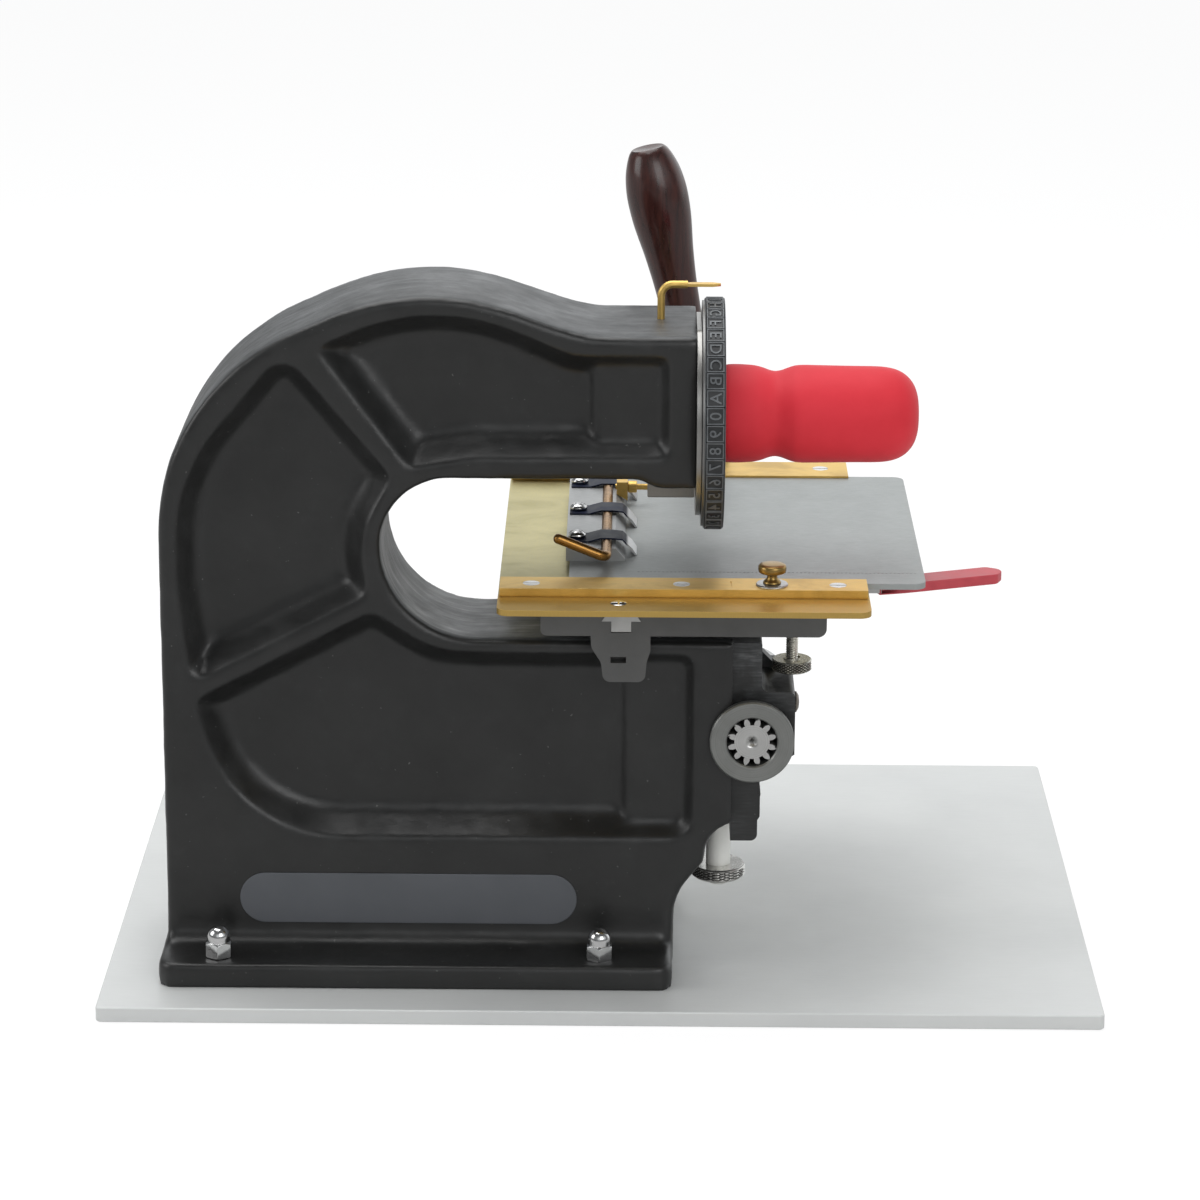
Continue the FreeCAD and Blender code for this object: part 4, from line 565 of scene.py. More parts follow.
def typeMetal(radius):
    # hardened grey metal, worn lighter on what stands up and dark in the sunk panels
    material, tree, shader, coords = startMaterial("typeMetal")
    blotches = noiseMap(tree, coords, 130, 5, 0.65)
    sunk = colourRamp(tree, blotches, [(0.3, (0.016, 0.017, 0.018)), (0.7, (0.034, 0.036, 0.038))])
    raised = colourRamp(tree, blotches, [(0.3, (0.078, 0.084, 0.089)), (0.7, (0.14, 0.148, 0.155))])
    distance = axisDistance(tree, coords, dialCentre, "x")
    stands = spread(tree, distance, 0, 1, (radius - 0.38) * mm, (radius - 0.08) * mm)
    sides = spread(tree, facingAxis(tree, 0), 0, 1, 0.5, 0.8)
    share = maths(tree, "MAXIMUM", stands, sides)
    feed(shader, "Base Color", blendColours(tree, share, sunk, raised))
    shader.inputs["Metallic"].default_value = 0.35
    feed(shader, "Roughness", spread(tree, blotches, 0.34, 0.48))
    bumpFrom(tree, shader, [(blotches, 0.25, 0.0003)])
    return material


# the usual finish of each slot
finishes = {
    "casting": blackPaint("castingPaint", *castingTones, fewMarks),
    "plate_metal": millPlate(),
    "label_grey": labelFilm(),
    "bright_steel": machinedSteel("turnedSteel", (0.50, 0.50, 0.495), 0.36, (1, 8, 1)),
    "nut_chrome": machinedSteel("polishedNut", (0.66, 0.66, 0.66), 0.13),
    "dark_steel": machinedSteel("filedSteel", (0.085, 0.085, 0.085), 0.42, (6, 1, 1), 0.7),
    "blued_steel": bluedSpring(),
    "brass_pale": brassFinish("paleBrass", (0.50, 0.45, 0.245), (0.41, 0.365, 0.185), 0.46, (10, 1, 1),
                              (0.53, 0.355, 0.105)),
    "brass_rich": brassFinish("railBrass", (0.74, 0.50, 0.15), (0.58, 0.375, 0.105), 0.42, (1, 12, 12)),
    "slide_steel": machinedSteel("slideSteel", (0.34, 0.355, 0.35), 0.46, (1, 7, 1), 0.6, 0.05),
    "red_grip": softRubber(),
    "red_sleeve": dippedVinyl(),
    "wood": lacqueredWood(math.radians(handleLean)),
}
# nodes whose finish differs from their slot's usual one
ownFinish = {
    "pinion_cap": blackPaint("filedPaint", (0.008, 0.0082, 0.008), (0.015, 0.0152, 0.015), faceWear),
    "lever_arm": blackPaint("armPaint", (0.010, 0.0102, 0.010), (0.018, 0.0182, 0.018), fewMarks),
    # painted light: the table's paint is a lighter copy of the frame's black, standing for the stronger
    # light on it
    "table_casting": blackPaint("tablePaint", (0.060, 0.0602, 0.0588), (0.084, 0.0843, 0.0822), fewMarks),
    "near_bushing": ringTurnedSteel("ringSteel", (0.25, 0.255, 0.245), 0.42, pinionCentre, "y"),
    "pinion_shaft": ringTurnedSteel("pinionSteel", (0.50, 0.50, 0.49), 0.36, pinionCentre, "y"),
    "cover_plate": ringTurnedSteel("coverSteel", (0.36, 0.355, 0.34), 0.34, dialCentre, "x"),
    "index_wheel": ringTurnedSteel("indexSteel", (0.22, 0.22, 0.215), 0.36, dialCentre, "x"),
    "dial_wheel": typeMetal(typeRadius),
    "clip_block": machinedSteel("blockSteel", (0.34, 0.345, 0.345), 0.4, (1, 7, 1), 0.6, 0.06),
    "cam_rod": brassFinish("rodBronze", (0.34, 0.175, 0.045), (0.20, 0.10, 0.028), 0.28, (1, 8, 1)),
    "index_block": machinedSteel("indexBlockSteel", (0.26, 0.255, 0.24), 0.45, (7, 1, 1), 0.6, 0.06),
    "runner_bar": machinedSteel("runnerSteel", (0.40, 0.40, 0.39), 0.4, (9, 1, 1), 0.8),
    "ram_rack": machinedSteel("satinRam", (0.84, 0.84, 0.80), 0.5, (1, 1, 6), 0.25, 0.05),
    "strip_screws": machinedSteel("stripScrewSteel", (0.66, 0.66, 0.65), 0.3, (1, 6, 1), 0.7),
    "bushing_screw": machinedSteel("brownedScrew", (0.20, 0.175, 0.15), 0.36, (1, 1, 1), 0.9),
}
ownFinish["far_strip"] = finishes["brass_rich"]
ownFinish["stop_screw"] = finishes["brass_rich"]
bandPaint = blackPaint("castingBandPaint", *castingTones, bandWear)
print("materials made:", len(finishes) + len(ownFinish))


# a node's solid is replaced by a copy with joined, smoothed and softened faces
edgeWidths = {
    "base_plate": 0.25, "table_casting": 0.6, "pinion_cap": 0.5, "near_bushing": 0.12, "far_bushing": 0.12,
    "carriage_plate": 0.12, "front_strip": 0.15, "far_strip": 0.15, "runner_bar": 0.12, "tag_plate": 0.25,
    "clip_block": 0.15, "clip_springs": 0.08, "stop_block": 0.2, "index_block": 0.15, "cover_plate": 0.15,
    "index_wheel": 0.08, "dial_wheel": 0.15, "release_lever": 0.15, "lever_arm": 0.5, "spacing_rack": 0.1,
    "acorn_nuts": 0.12,
}
slotOf = {s["node"]: s["material_slot"] for s in frame["record"]["subparts"]}
bodyOf = {node: body for body, nodes in frame["record"]["behaviour"]["bodies"].items() for node in nodes}


def camelName(node):
    words = node.split("_")
    return words[0] + "".join(word.capitalize() for word in words[1:])


def finishOf(node):
    return ownFinish.get(node, finishes[slotOf[node]])


def softenNode(piece, node):
    flattenFaces(piece)
    softenEdges(piece, edgeWidths[node] * mm)


def dressNode(node):
    piece = cleanCopy(node, camelName(node))
    if node in edgeWidths:
        softenNode(piece, node)
    smoothShade(piece)
    return finishPiece(piece, finishOf(node), bodyOf[node], [node])


# these have a function of their own further down
ownPieces = {
    "frame_casting", "pinion_cap", "dial_wheel", "type_tiles", "dial_grip", "wooden_handle", "thumb_screw",
    "stop_collar", "lock_knob", "tag_plate", "front_strip", "label_plate",
}
for nodeName in frame["nodes"]:
    frame["nodes"][nodeName].data.materials.clear()
    frame["nodes"][nodeName].data.materials.append(finishOf(nodeName))
    if nodeName not in ownPieces:
        dressNode(nodeName)
print("nodes dressed")


# the cast frame, with the soft edges and uneven skin of a sand casting
castingLook = {
    "grain": 2.0,           # size of the mesh's faces
    "softFactor": 0.5,
    "softPasses": 7,
    "crispBand": 5.0,       # edges of the machined faces stay sharper within this distance
    "crispest": 0.12,
    "noseFace": 66.0,
    "headFace": 46.3,
    "headBottom": 235.0,
    "foot": 7.9,
    "lumpSize": 24.0,
    "lumpHeight": 0.28,
    "dentSize": 8.0,
    "dentHeight": 0.16,
    "midPlane": -91.0,
    "bandReach": 2.5,
    "bandTilt": 0.6,        # faces that look more to the side than this aren't a band
}


def castSoftness(place):
    # least on a machined face, 1 away from them
    look = castingLook
    x, z = place.x / mm, place.z / mm
    face = look["headFace"] if z > look["headBottom"] else look["noseFace"]
    reach = min(face - x, z - look["foot"]) / look["crispBand"]
    return max(look["crispest"], min(1, reach))


def paintBands(piece):
    # a face is on an outer band or in the throat if the air in front of it
    # is open at the middle of the frame too
    look = castingLook
    mesh = piece.data
    shape = BVHTree.FromPolygons([v.co for v in mesh.vertices], [list(p.vertices) for p in mesh.polygons])
    mesh.materials.append(bandPaint)
    for face in mesh.polygons:
        ahead = face.center + face.normal * look["bandReach"] * mm
        ahead.y = look["midPlane"] * mm
        nearest, outward = shape.find_nearest(ahead)[:2]
        if abs(face.normal.y) < look["bandTilt"] and (ahead - nearest).dot(outward) > 0:
            face.material_index = 1


def makeCasting():
    look = castingLook
    piece = cleanCopy("frame_casting", "castFrame")
    skin = piece.modifiers.new("evenSkin", "REMESH")
    skin.mode = "VOXEL"
    skin.voxel_size = look["grain"] * mm
    applyModifiers(piece)
    group = piece.vertex_groups.new(name="softSkin")
    for vertex in piece.data.vertices:
        group.add([vertex.index], castSoftness(vertex.co), "REPLACE")
    soft = piece.modifiers.new("softSkin", "SMOOTH")
    soft.factor = look["softFactor"]
    soft.iterations = look["softPasses"]
    soft.vertex_group = "softSkin"
    applyModifiers(piece)
    piece.vertex_groups.clear()
    outward = [vertex.normal.copy() for vertex in piece.data.vertices]
    for vertex, way in zip(piece.data.vertices, outward):
        lump = noise.noise(vertex.co / (look["lumpSize"] * mm)) * look["lumpHeight"]
        dent = noise.noise(vertex.co / (look["dentSize"] * mm)) * look["dentHeight"]
        vertex.co += way * (lump + dent) * castSoftness(vertex.co) * mm
    smoothShade(piece, 60, False)
    print("cast frame faces:", len(piece.data.polygons))
    finishPiece(piece, finishes["casting"], "frame", ["frame_casting"])
    paintBands(piece)
    return piece


makeCasting()
print("cast frame made")


# type wheel's blocks, each with one mirrored character that stands up from a sunk panel
typeLook = {
    "signs": "1234567890ABCDEFGHIJKLMNOPQRSTUVWXYZ&-./?,",
    "firstSign": 18,        # place in signs of the block at the very top
    "back": 50.65,
    "front": 59.95,
    "radius": typeRadius,
    "depth": 5.4,
    "taper": 0.93,          # length of a block's top, as a share of its foot
    "gap": 0.45,
    "rim": 0.55,
    "sunk": 0.5,
    "sunkTaper": 0.96,
    "edge": 0.12,
    "fontSize": 8.235,
    "fontBold": 0.03,
    "signWidth": 1.02,
    "signLow": 0.06,        # a character stands this much lower than the rim round it
    "wheelRim": 45.0,       # beyond this radius the wheel is drawn in
    "drawnIn": 1.3,
}


def typeBlock(width, wide):
    look = typeLook
    middle = (look["back"] + look["front"]) / 2
    height = look["depth"]
    centre = (middle * mm, 0, (look["radius"] - height / 2) * mm)
    bpy.ops.mesh.primitive_cube_add(size=1, location=centre, scale=(width * mm, wide * mm, height * mm))
    block = bpy.context.object
    settlePlace(block)
    for vertex in block.data.vertices:
        if vertex.co.z > centre[2]:
            vertex.co.x = centre[0] + look["taper"] * (vertex.co.x - centre[0])
    for face in block.data.polygons:
        face.select = face.normal.z > 0.9
    for edge in block.data.edges:
        edge.select = False
    for vertex in block.data.vertices:
        vertex.select = False
    bpy.ops.object.mode_set(mode="EDIT")
    bpy.ops.mesh.select_mode(type="FACE")
    bpy.ops.mesh.inset(thickness=look["rim"] * mm)
    bpy.ops.mesh.extrude_region_move(TRANSFORM_OT_translate={"value": (0, 0, -look["sunk"] * mm)})
    bpy.ops.transform.resize(value=(look["sunkTaper"], look["sunkTaper"], 1), center_override=centre)
    closeMesh()
    return block


def typeSign(sign):
    # lies on its side with its head to the left, and reads mirrored as type does
    look = typeLook
    bpy.ops.object.text_add()
    letter = bpy.context.object
    letter.data.body = sign
    letter.data.align_x = "CENTER"
    letter.data.align_y = "CENTER"
    letter.data.size = look["fontSize"] * mm
    letter.data.extrude = look["sunk"] * mm / 2
    letter.data.offset = look["fontBold"] * mm
    letter.data.resolution_u = 3
    onlySelect(letter)
    bpy.ops.object.convert(target="MESH")
    letter = bpy.context.object
    middle = sum((Vector(corner) for corner in letter.bound_box), Vector()) / 8
    lying = Matrix(((0, -1, 0), (-look["signWidth"], 0, 0), (0, 0, 1)))
    height = look["radius"] - look["sunk"] / 2 - look["signLow"]
    place = Vector(((look["back"] + look["front"]) / 2 * mm, 0, height * mm))
    for vertex in letter.data.vertices:
        vertex.co = lying @ (vertex.co - middle) + place
    letter.data.update()
    openMesh(letter)
    bpy.ops.mesh.remove_doubles(threshold=0.000005)
    bpy.ops.mesh.normals_make_consistent(inside=False)
    closeMesh()
    return letter


def makeTypeBlocks():
    look = typeLook
    signs = look["signs"]
    pitch = 2 * math.pi / len(signs)
    wide = look["radius"] * pitch - look["gap"]
    pattern = typeBlock(look["front"] - look["back"], wide)
    softenEdges(pattern, look["edge"] * mm, 1, 50)
    blocks = []
    for i in range(len(signs)):
        letter = typeSign(signs[(look["firstSign"] - i) % len(signs)])
        block = bpy.data.objects.new("typeBlock", pattern.data.copy())
        bpy.context.scene.collection.objects.link(block)
        for part in (block, letter):
            part.data.transform(Matrix.Rotation(pitch * i, 4, "X"))
            part.data.transform(Matrix.Translation((0, dialCentre[1], dialCentre[2])))
            blocks.append(part)
    bpy.data.objects.remove(pattern)
    ring = joinPieces(blocks, "typeBlocks")
    smoothShade(ring, 30, False)
    return finishPiece(ring, ownFinish["dial_wheel"], "dial", ["type_tiles"])


def makeDialWheel():
    # the rim follows the photograph's outline, a little inside the solid's
    piece = cleanCopy("dial_wheel", "dialWheel")
    for vertex in piece.data.vertices:
        across = Vector((0, vertex.co.y - dialCentre[1], vertex.co.z - dialCentre[2]))
        if across.length > typeLook["wheelRim"] * mm:
            vertex.co -= across.normalized() * typeLook["drawnIn"] * mm
    piece.data.update()
    softenNode(piece, "dial_wheel")
    smoothShade(piece)
    return finishPiece(piece, ownFinish["dial_wheel"], "dial", ["dial_wheel"])


makeDialWheel()
makeTypeBlocks()
print("dial wheel and type blocks made:", len(typeLook["signs"]))


# the pinion cap, with its lower corner cut off slantwise beside the near bushing
capCorner = {
    "column": 80.15,        # the cut runs from here in X
    "front": 99.0,
    "low": 100.0,
    "inner": 110.6,         # height of the slant at the column and at the front
    "outer": 122.1,
}


def makePinionCap():
    look = capCorner
    node = "pinion_cap"
    piece = cleanCopy(node, "pinionCap")
    lowest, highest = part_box(node)
    bpy.ops.mesh.primitive_cube_add(size=1)
    cutter = bpy.context.object
    for vertex in cutter.data.vertices:
        front, far, upper = (part > 0 for part in vertex.co)
        high = look["outer"] if front else look["inner"]
        vertex.co.x = (look["front"] if front else look["column"]) * mm
        vertex.co.y = highest[1] + mm if far else lowest[1] - mm
        vertex.co.z = (high if upper else look["low"]) * mm
    cutAway(piece, cutter)
    softenNode(piece, node)
    smoothShade(piece)
    return finishPiece(piece, ownFinish[node], bodyOf[node], [node])


makePinionCap()
print("pinion cap made")


# knurled pieces: columns and rows of points, every second one pressed in to make diamonds
def pressKnurl(piece, centre, low, high, columns, rows, depth):
    step = (high - low) / rows
    for vertex in piece.data.vertices:
        out = vertex.co - Vector(centre)
        row = (out.z / mm - low) / step
        column = math.atan2(out.y, out.x) / (2 * math.pi) * columns
        inBand = -0.1 < row < rows + 0.1
        if inBand and (round(row) + round(column)) % 2 == 0:
            radius = math.hypot(out.x, out.y)
            share = (radius - depth * mm) / radius
            vertex.co.x = centre[0] + out.x * share
            vertex.co.y = centre[1] + out.y * share
    openMesh(piece)
    bpy.ops.mesh.quads_convert_to_tris(quad_method="SHORTEST_DIAGONAL", ngon_method="BEAUTY")
    closeMesh()


def knurlRings(radius, low, high, rows):
    return [(radius, low + (high - low) * i / rows) for i in range(rows + 1)]


thumbScrew = {
    "centre": (0.0972, -0.091, 0.1574),
    "headRadius": 10.2,
    "headHeight": 6.0,
    "columns": 52,
    "rows": 6,
    "knurlDepth": 0.55,
    "shaftRadius": 3.17,
    "shaftTop": 42.6,
    "shaftSides": 24,
    "pitch": 1.27,
    "rowsPerTurn": 6,
    "threadDepth": 0.42,
    "flank": 1.3,           # steeper sides of the thread above 1
}


def makeThumbScrew():
    look = thumbScrew
    centre = look["centre"]
    radius = look["headRadius"]
    top = look["headHeight"]
    rings = [(4.0, 0), (radius - 1.0, 0), (radius, 0.7)]
    rings += knurlRings(radius, 0.9, top - 0.7, look["rows"])
    rings += [(radius, top - 0.5), (radius - 0.6, top), (4.4, top), (4.3, top + 0.6), (4.2, top)]
    head = turnedPiece("thumbScrewHead", rings, centre, look["columns"])
    pressKnurl(head, centre, 0.9, top - 0.7, look["columns"], look["rows"], look["knurlDepth"])
    smoothShade(head, 24, False)

    shaft = [(look["shaftRadius"], top - 0.6)]
    rows = int((look["shaftTop"] - top) / look["pitch"] * look["rowsPerTurn"])
    for i in range(rows + 1):
        shaft.append((look["shaftRadius"], top + (look["shaftTop"] - top) * i / rows))
    screw = turnedPiece("thumbScrewShaft", shaft, centre, look["shaftSides"])
    for vertex in screw.data.vertices:
        out = vertex.co - Vector(centre)
        turn = out.z / mm / look["pitch"] - math.atan2(out.y, out.x) / (2 * math.pi)
        ridge = abs((turn % 1) * 2 - 1)
        share = 1 - look["threadDepth"] / look["shaftRadius"] * (1 - min(1, ridge * look["flank"]))
        vertex.co.x = centre[0] + out.x * share
        vertex.co.y = centre[1] + out.y * share
    smoothShade(screw, 60, False)
    piece = joinPieces([head, screw], "thumbScrew")
    # the darker colour is painted shade in the knurl valleys
    steel = knurledSteel("thumbSteel", (0.66, 0.64, 0.57), (0.022, 0.021, 0.018), 0.26, centre, radius,
                         look["knurlDepth"])
    return finishPiece(piece, steel, "thumb_stop", ["thumb_screw"])


stopCollar = {
    "centre": (0.0607, -0.091, 0.0444),
    "radius": 14.0,
    "height": 7.1,
    "bore": 6.45,
    "columns": 66,
    "rows": 6,
    "knurlDepth": 0.55,
}


def makeStopCollar():
    look = stopCollar
    centre = look["centre"]
    radius = look["radius"]
    top = look["height"]
    knurlLow = 1.6
    knurlHigh = top - 1.1
    rings = [(radius - 1.7, 0), (radius - 0.2, 1.1), (radius, 1.4)]
    rings += knurlRings(radius, knurlLow, knurlHigh, look["rows"])
    rings += [(radius, top - 0.9), (radius - 0.9, top)]
    piece = turnedPiece("stopCollar", rings, centre, look["columns"])
    pressKnurl(piece, centre, knurlLow, knurlHigh, look["columns"], look["rows"], look["knurlDepth"])
    bore = turnedPiece("collarBore", [(look["bore"], -1), (look["bore"], top + 1)], centre, 48)
    cutAway(piece, bore)
    smoothShade(piece, 24, False)
    # the darker colour is painted shade in the knurl valleys
    steel = knurledSteel("collarSteel", (0.72, 0.71, 0.68), (0.022, 0.021, 0.02), 0.25, centre, radius,
                         look["knurlDepth"])
    return finishPiece(piece, steel, "collar", ["stop_collar"])


# lock knob: a flat round head on a waisted neck that flares into its foot
lockKnob = {
    "centre": (0.0846, -0.1425, 0.2193),
    "rings": [(3.9, 0), (4.5, 0.2), (4.5, 0.7), (3.9, 1.3), (3.1, 2.0), (2.6, 2.9), (2.5, 3.7), (2.9, 4.5),
              (4.2, 5.1), (6.0, 5.4), (6.8, 5.9), (7.05, 6.8), (7.05, 8.2), (6.8, 9.1), (6.2, 9.6),
              (4.0, 9.85), (0.4, 9.9)],
    "shank": [(1.9, -8.2), (1.9, 0.6)],
}
knobBrass = brassFinish("knobBrass", (0.34, 0.22, 0.07), (0.22, 0.14, 0.045), 0.3, (1, 1, 8))


def makeLockKnob():
    look = lockKnob
    head = turnedPiece("knobHead", look["rings"], look["centre"], 56)
    shank = turnedPiece("knobShank", look["shank"], look["centre"], 24)
    piece = joinPieces([head, shank], "lockKnob")
    smoothShade(piece, 45, False)
    return finishPiece(piece, knobBrass, "knob", ["lock_knob"])


makeThumbScrew()
makeStopCollar()
makeLockKnob()
print("knurled pieces and knob made")


# turned wooden handle and soft grip, with the smooth outlines that the solids have in plainer steps
woodenHandle = {
    "pivot": (0.0762, 0.105, 0.1315),
    "start": 132.0,         # from the pivot to the handle's foot
    "lean": handleLean,
    "foot": [(9.35, 2.6), (9.35, 12.9), (9.8, 13.0), (10.3, 13.2), (10.4, 14.0)],
    "curve": [(10.45, 20), (10.7, 34), (11.2, 46), (11.8, 57), (12.6, 66), (13.7, 76), (15.0, 85),
              (16.0, 93), (16.5, 101), (16.55, 107), (16.1, 113), (14.9, 120), (13.0, 126), (11.0, 130.4),
              (9.5, 132.4), (8.7, 133.0)],
    "end": [(7.6, 132.8), (3.0, 132.3), (0.3, 132.2)],
}
gripLook = {
    "centre": (0.0, -0.091, 0.2931),
    "foot": [(9.0, 60.45), (23.6, 60.45)],
    "curve": [(24.3, 60.9), (24.75, 62.5), (24.9, 66), (24.75, 71), (24.3, 76), (23.3, 80), (22.1, 83.3),
              (21.55, 86.2), (22.0, 89.3), (23.2, 92.6), (24.3, 96), (24.7, 100), (24.65, 106), (24.5, 115),
              (24.35, 126), (24.25, 137), (23.8, 142.5), (22.8, 147), (21.0, 150.8), (18.3, 154),
              (14.5, 156.6), (9.6, 158.2), (4.5, 158.75), (0.3, 158.8)],
}


def makeHandle():
    look = woodenHandle
    rings = look["foot"] + curvedRings(look["curve"], 4) + look["end"]
    piece = turnedPiece("woodenHandle", rings, (0, 0, 0), 64)
    piece.data.transform(Matrix.Translation((0, 0, look["start"] * mm)))
    piece.data.transform(Matrix.Rotation(math.radians(-look["lean"]), 4, "Y"))
    piece.data.transform(Matrix.Translation(look["pivot"]))
    smoothShade(piece, 40, False)
    return finishPiece(piece, finishes["wood"], "lever", ["wooden_handle"])


def makeGrip():
    look = gripLook
    rings = look["foot"] + curvedRings(look["curve"], 4)
    piece = turnedPiece("softGrip", rings, (0, 0, 0), 72)
    piece.data.transform(Matrix.Rotation(math.radians(90), 4, "Y"))
    piece.data.transform(Matrix.Translation(look["centre"]))
    smoothShade(piece, 40, False)
    return finishPiece(piece, finishes["red_grip"], "dial", ["dial_grip"])


makeHandle()
makeGrip()
print("handle and grip made")


# slotted screw on the ledge in front of the strip
ledgeScrew = {
    "centre": (0.0082, -0.1612, 0.2139),
    "radius": 4.4,
    "rise": 0.75,
    "slot": 0.9,
    "blade": 1.1,           # height of the block that cuts the slot, half of it above the screw
}


def makeLedgeScrew():
    look = ledgeScrew
    radius, rise = look["radius"], look["rise"]
    rings = [(radius, -2.4), (radius, 0.05), (radius * 0.93, rise * 0.4), (radius * 0.75, rise * 0.75),
             (radius * 0.4, rise * 0.96), (0.2, rise)]
    piece = turnedPiece("ledgeScrew", rings, look["centre"], 40)
    place = Vector(look["centre"]) + Vector((0, 0, rise * mm))
    size = (look["slot"] * mm, radius * 2.2 * mm, look["blade"] * mm)
    bpy.ops.mesh.primitive_cube_add(size=1, location=place, scale=size)
    blade = bpy.context.object
    settlePlace(blade)
    cutAway(piece, blade)
    smoothShade(piece, 35, False)
    return finishPiece(piece, finishes["nut_chrome"], "carriage")


makeLedgeScrew()
print("ledge screw made")


# tag plate with its row of punched dimples
dimples = {
    "first": 18.0,
    "last": 158.0,
    "pitch": 2.05,
    "y": -117.0,
    "radius": 0.62,
    "depth": 1.1,
}


def makeTagPlate():
    # each cone is twice as large as its dimple, with its upper half in the air
    look = dimples
    piece = cleanCopy("tag_plate", "tagPlate")
    softenNode(piece, "tag_plate")
    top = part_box("tag_plate")[1][2]
    count = int((look["last"] - look["first"]) / look["pitch"]) + 1
    cones = []
    for i in range(count):
        place = ((look["first"] + i * look["pitch"]) * mm, look["y"] * mm, top)
        bpy.ops.mesh.primitive_cone_add(vertices=10, radius1=0, radius2=look["radius"] * mm * 2,
                                        depth=look["depth"] * mm * 2, location=place)
        cones.append(bpy.context.object)
    cutter = joinPieces(cones, "dimpleCones")
    settlePlace(cutter)
    cutAway(piece, cutter)
    print("dimples made:", count)
    smoothShade(piece)
    return finishPiece(piece, finishes["slide_steel"], "tag_slide", ["tag_plate"])


# front strip with the short scribed mark beside the knob
scribedMark = {"x": 64.2, "near": -146.0, "far": -137.5, "width": 0.5, "depth": 0.5}


def makeFrontStrip():
    piece = cleanCopy("front_strip", "frontStrip")
    softenNode(piece, "front_strip")
    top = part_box("front_strip")[1][2]
    look = scribedMark
    middle = (look["x"] * mm, (look["near"] + look["far"]) / 2 * mm, top)
    size = (look["width"] * mm, (look["far"] - look["near"]) * mm, look["depth"] * 2 * mm)
    bpy.ops.mesh.primitive_cube_add(size=1, location=middle, scale=size)
    scriber = bpy.context.object
    settlePlace(scriber)
    cutAway(piece, scriber)
    smoothShade(piece)
    return finishPiece(piece, finishes["brass_rich"], "carriage", ["front_strip"])


# bare label plate with a fine raised rim
labelRim = {"width": 1.1, "sunk": 0.25}


def makeLabelPlate():
    piece = cleanCopy("label_plate", "labelPlate")
    flattenFaces(piece)
    openMesh(piece, "DESELECT")
    bpy.ops.mesh.select_mode(type="FACE")
    closeMesh()
    for face in piece.data.polygons:
        face.select = face.normal.y < -0.9
    bpy.ops.object.mode_set(mode="EDIT")
    bpy.ops.mesh.inset(thickness=labelRim["width"] * mm)
    bpy.ops.transform.translate(value=(0, labelRim["sunk"] * mm, 0))
    closeMesh()
    smoothShade(piece)
    return finishPiece(piece, finishes["label_grey"], "frame", ["label_plate"])


makeTagPlate()
makeFrontStrip()
makeLabelPlate()
print("tag plate, front strip and label plate made")


# floor, world and lamps
studio = {
    "floorSize": 30.0,
    "floorDrop": 0.0004,
    "floorShade": 0.86,
    "floorShare": 0.8,      # share of plain white that the camera sees on the floor
    "floorWhite": 1.06,
    "floorShine": 0.62,     # what polished and painted faces mirror of the floor
    "worldLevel": 0.62,
    "worldWhite": 1.0,
    "ceilingShine": 0.16,   # what they mirror overhead and to the sides
    "backShine": 1.1,
    "frontShine": 0.85,
}


def mixShaders(tree, share, first, second):
    mix = tree.nodes.new("ShaderNodeMixShader")
    tree.links.new(share, mix.inputs["Fac"])
    tree.links.new(first, mix.inputs[1])
    tree.links.new(second, mix.inputs[2])
    return mix.outputs["Shader"]


def makeFloor():
    bpy.ops.mesh.primitive_plane_add(size=studio["floorSize"], location=(0, 0, -studio["floorDrop"]))
    floor = bpy.context.object
    floor.name = "studioFloor"
    material = bpy.data.materials.new("studioWhite")
    material.use_nodes = True
    tree = material.node_tree
    tree.nodes.clear()
    output = tree.nodes.new("ShaderNodeOutputMaterial")
    matt = tree.nodes.new("ShaderNodeBsdfDiffuse")
    matt.inputs["Color"].default_value = (studio["floorShade"],) * 3 + (1,)
    glow = tree.nodes.new("ShaderNodeEmission")
    glow.inputs["Strength"].default_value = studio["floorWhite"]
    shine = tree.nodes.new("ShaderNodeEmission")
    shine.inputs["Strength"].default_value = studio["floorShine"]
    path = tree.nodes.new("ShaderNodeLightPath").outputs
    share = maths(tree, "MULTIPLY", path["Is Camera Ray"], studio["floorShare"])
    seen = mixShaders(tree, share, matt.outputs["BSDF"], glow.outputs["Emission"])
    whole = mixShaders(tree, path["Is Glossy Ray"], seen, shine.outputs["Emission"])
    tree.links.new(whole, output.inputs["Surface"])
    floor.data.materials.append(material)


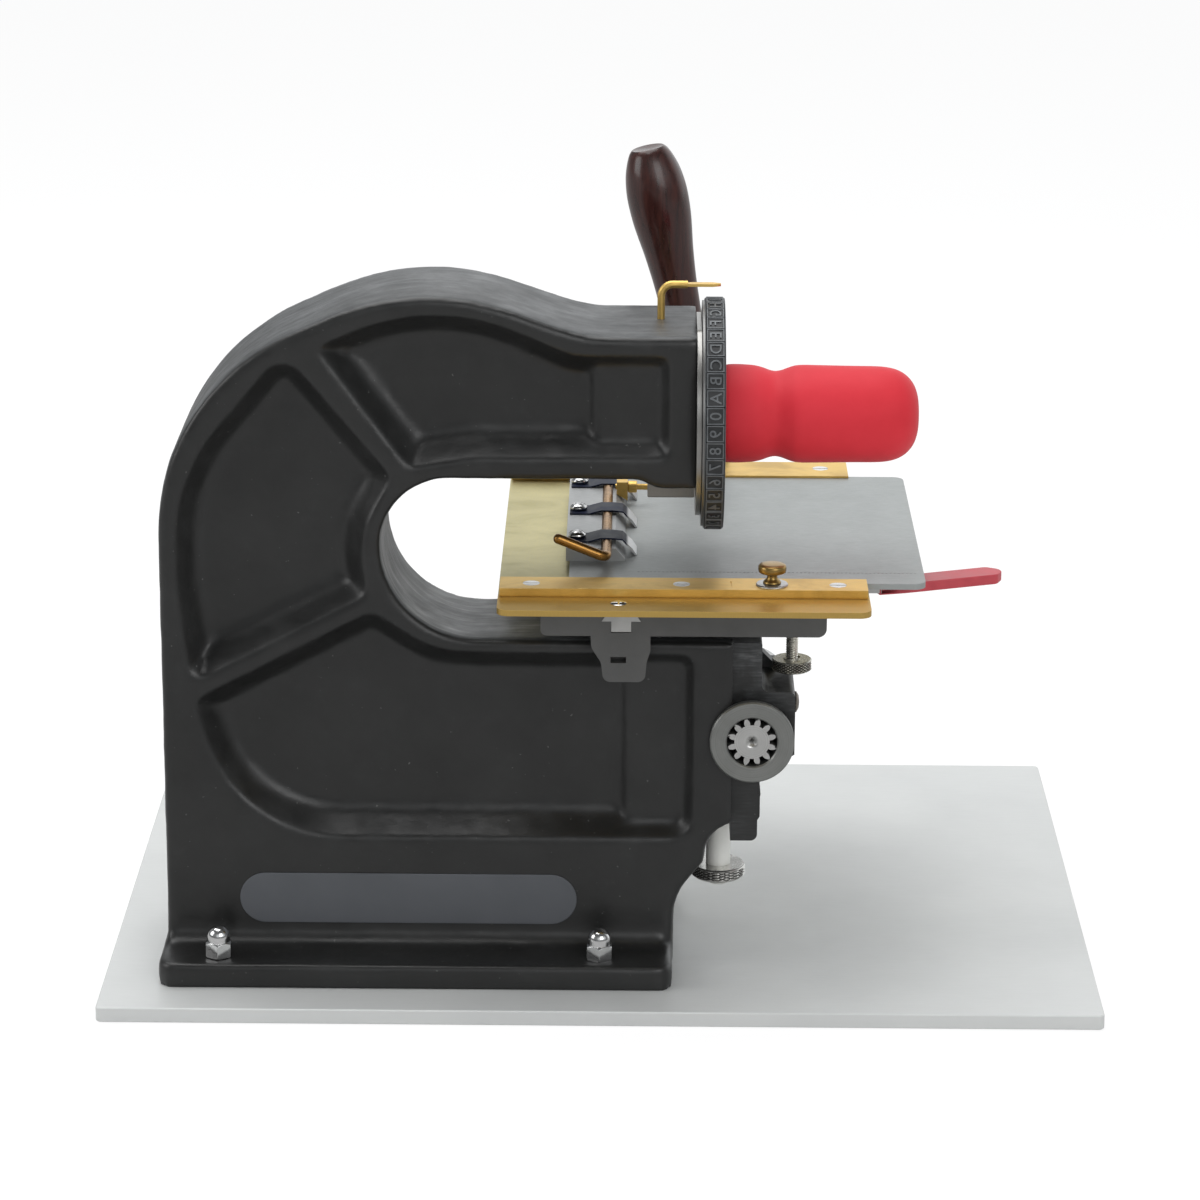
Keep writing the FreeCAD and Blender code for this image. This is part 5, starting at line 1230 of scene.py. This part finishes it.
def makeWorld():
    # polished faces mirror a bright wall behind the machine, a band of light in front of it, and little else
    world = bpy.data.worlds.new("studioWorld")
    bpy.context.scene.world = world
    world.use_nodes = True
    tree = world.node_tree
    tree.nodes.clear()
    output = tree.nodes.new("ShaderNodeOutputWorld")
    lit = tree.nodes.new("ShaderNodeBackground")
    lit.inputs["Color"].default_value = (0.97, 0.985, 1.0, 1)
    lit.inputs["Strength"].default_value = studio["worldLevel"]
    seen = tree.nodes.new("ShaderNodeBackground")
    seen.inputs["Strength"].default_value = studio["worldWhite"]
    mirrored = tree.nodes.new("ShaderNodeBackground")
    mirrored.inputs["Color"].default_value = (0.96, 0.985, 1.0, 1)
    way = splitAxes(tree, tree.nodes.new("ShaderNodeTexCoord").outputs["Generated"])
    below = spread(tree, way[2], studio["backShine"], 0, 0.5, 0.9)
    back = maths(tree, "MULTIPLY", spread(tree, way[1], 0, 1, 0.0, 0.4), below)
    lamp = maths(tree, "MULTIPLY", spread(tree, way[2], 0, studio["frontShine"], 0.12, 0.3),
                 spread(tree, way[2], 1, 0, 0.5, 0.75))
    front = maths(tree, "MULTIPLY", spread(tree, way[1], 1, 0, -0.5, -0.1), lamp)
    right = spread(tree, way[0], 0.12, 1, -0.42, -0.02)
    bright = maths(tree, "MULTIPLY", maths(tree, "MAXIMUM", back, front), right)
    tree.links.new(maths(tree, "ADD", bright, studio["ceilingShine"]), mirrored.inputs["Strength"])
    path = tree.nodes.new("ShaderNodeLightPath").outputs
    glossy = path["Is Glossy Ray"]
    soft = mixShaders(tree, glossy, lit.outputs["Background"], mirrored.outputs["Background"])
    plain = maths(tree, "MAXIMUM", path["Is Camera Ray"], path["Is Transmission Ray"])
    whole = mixShaders(tree, plain, soft, seen.outputs["Background"])
    tree.links.new(whole, output.inputs["Surface"])


lamps = [
    {"name": "topSoftbox", "place": (-0.3, 0.3, 1.9), "aim": (0, 0, 0.1), "size": 1.6, "watts": 26},
    {"name": "frontFill", "place": (0.9, -1.9, 1.3), "aim": (0, 0, 0.2), "size": 1.2, "watts": 12},
    {"name": "leftRim", "place": (-1.6, -0.4, 0.9), "aim": (-0.1, 0, 0.2), "size": 0.9, "watts": 8},
]


def makeLamps():
    for lamp in lamps:
        data = bpy.data.lights.new(lamp["name"], "AREA")
        data.shape = "SQUARE"
        data.size = lamp["size"]
        data.energy = lamp["watts"]
        holder = bpy.data.objects.new(lamp["name"], data)
        bpy.context.scene.collection.objects.link(holder)
        holder.location = lamp["place"]
        way = Vector(lamp["aim"]) - Vector(lamp["place"])
        holder.rotation_euler = way.to_track_quat("-Z", "Y").to_euler()


makeFloor()
makeWorld()
makeLamps()
print("studio ready")
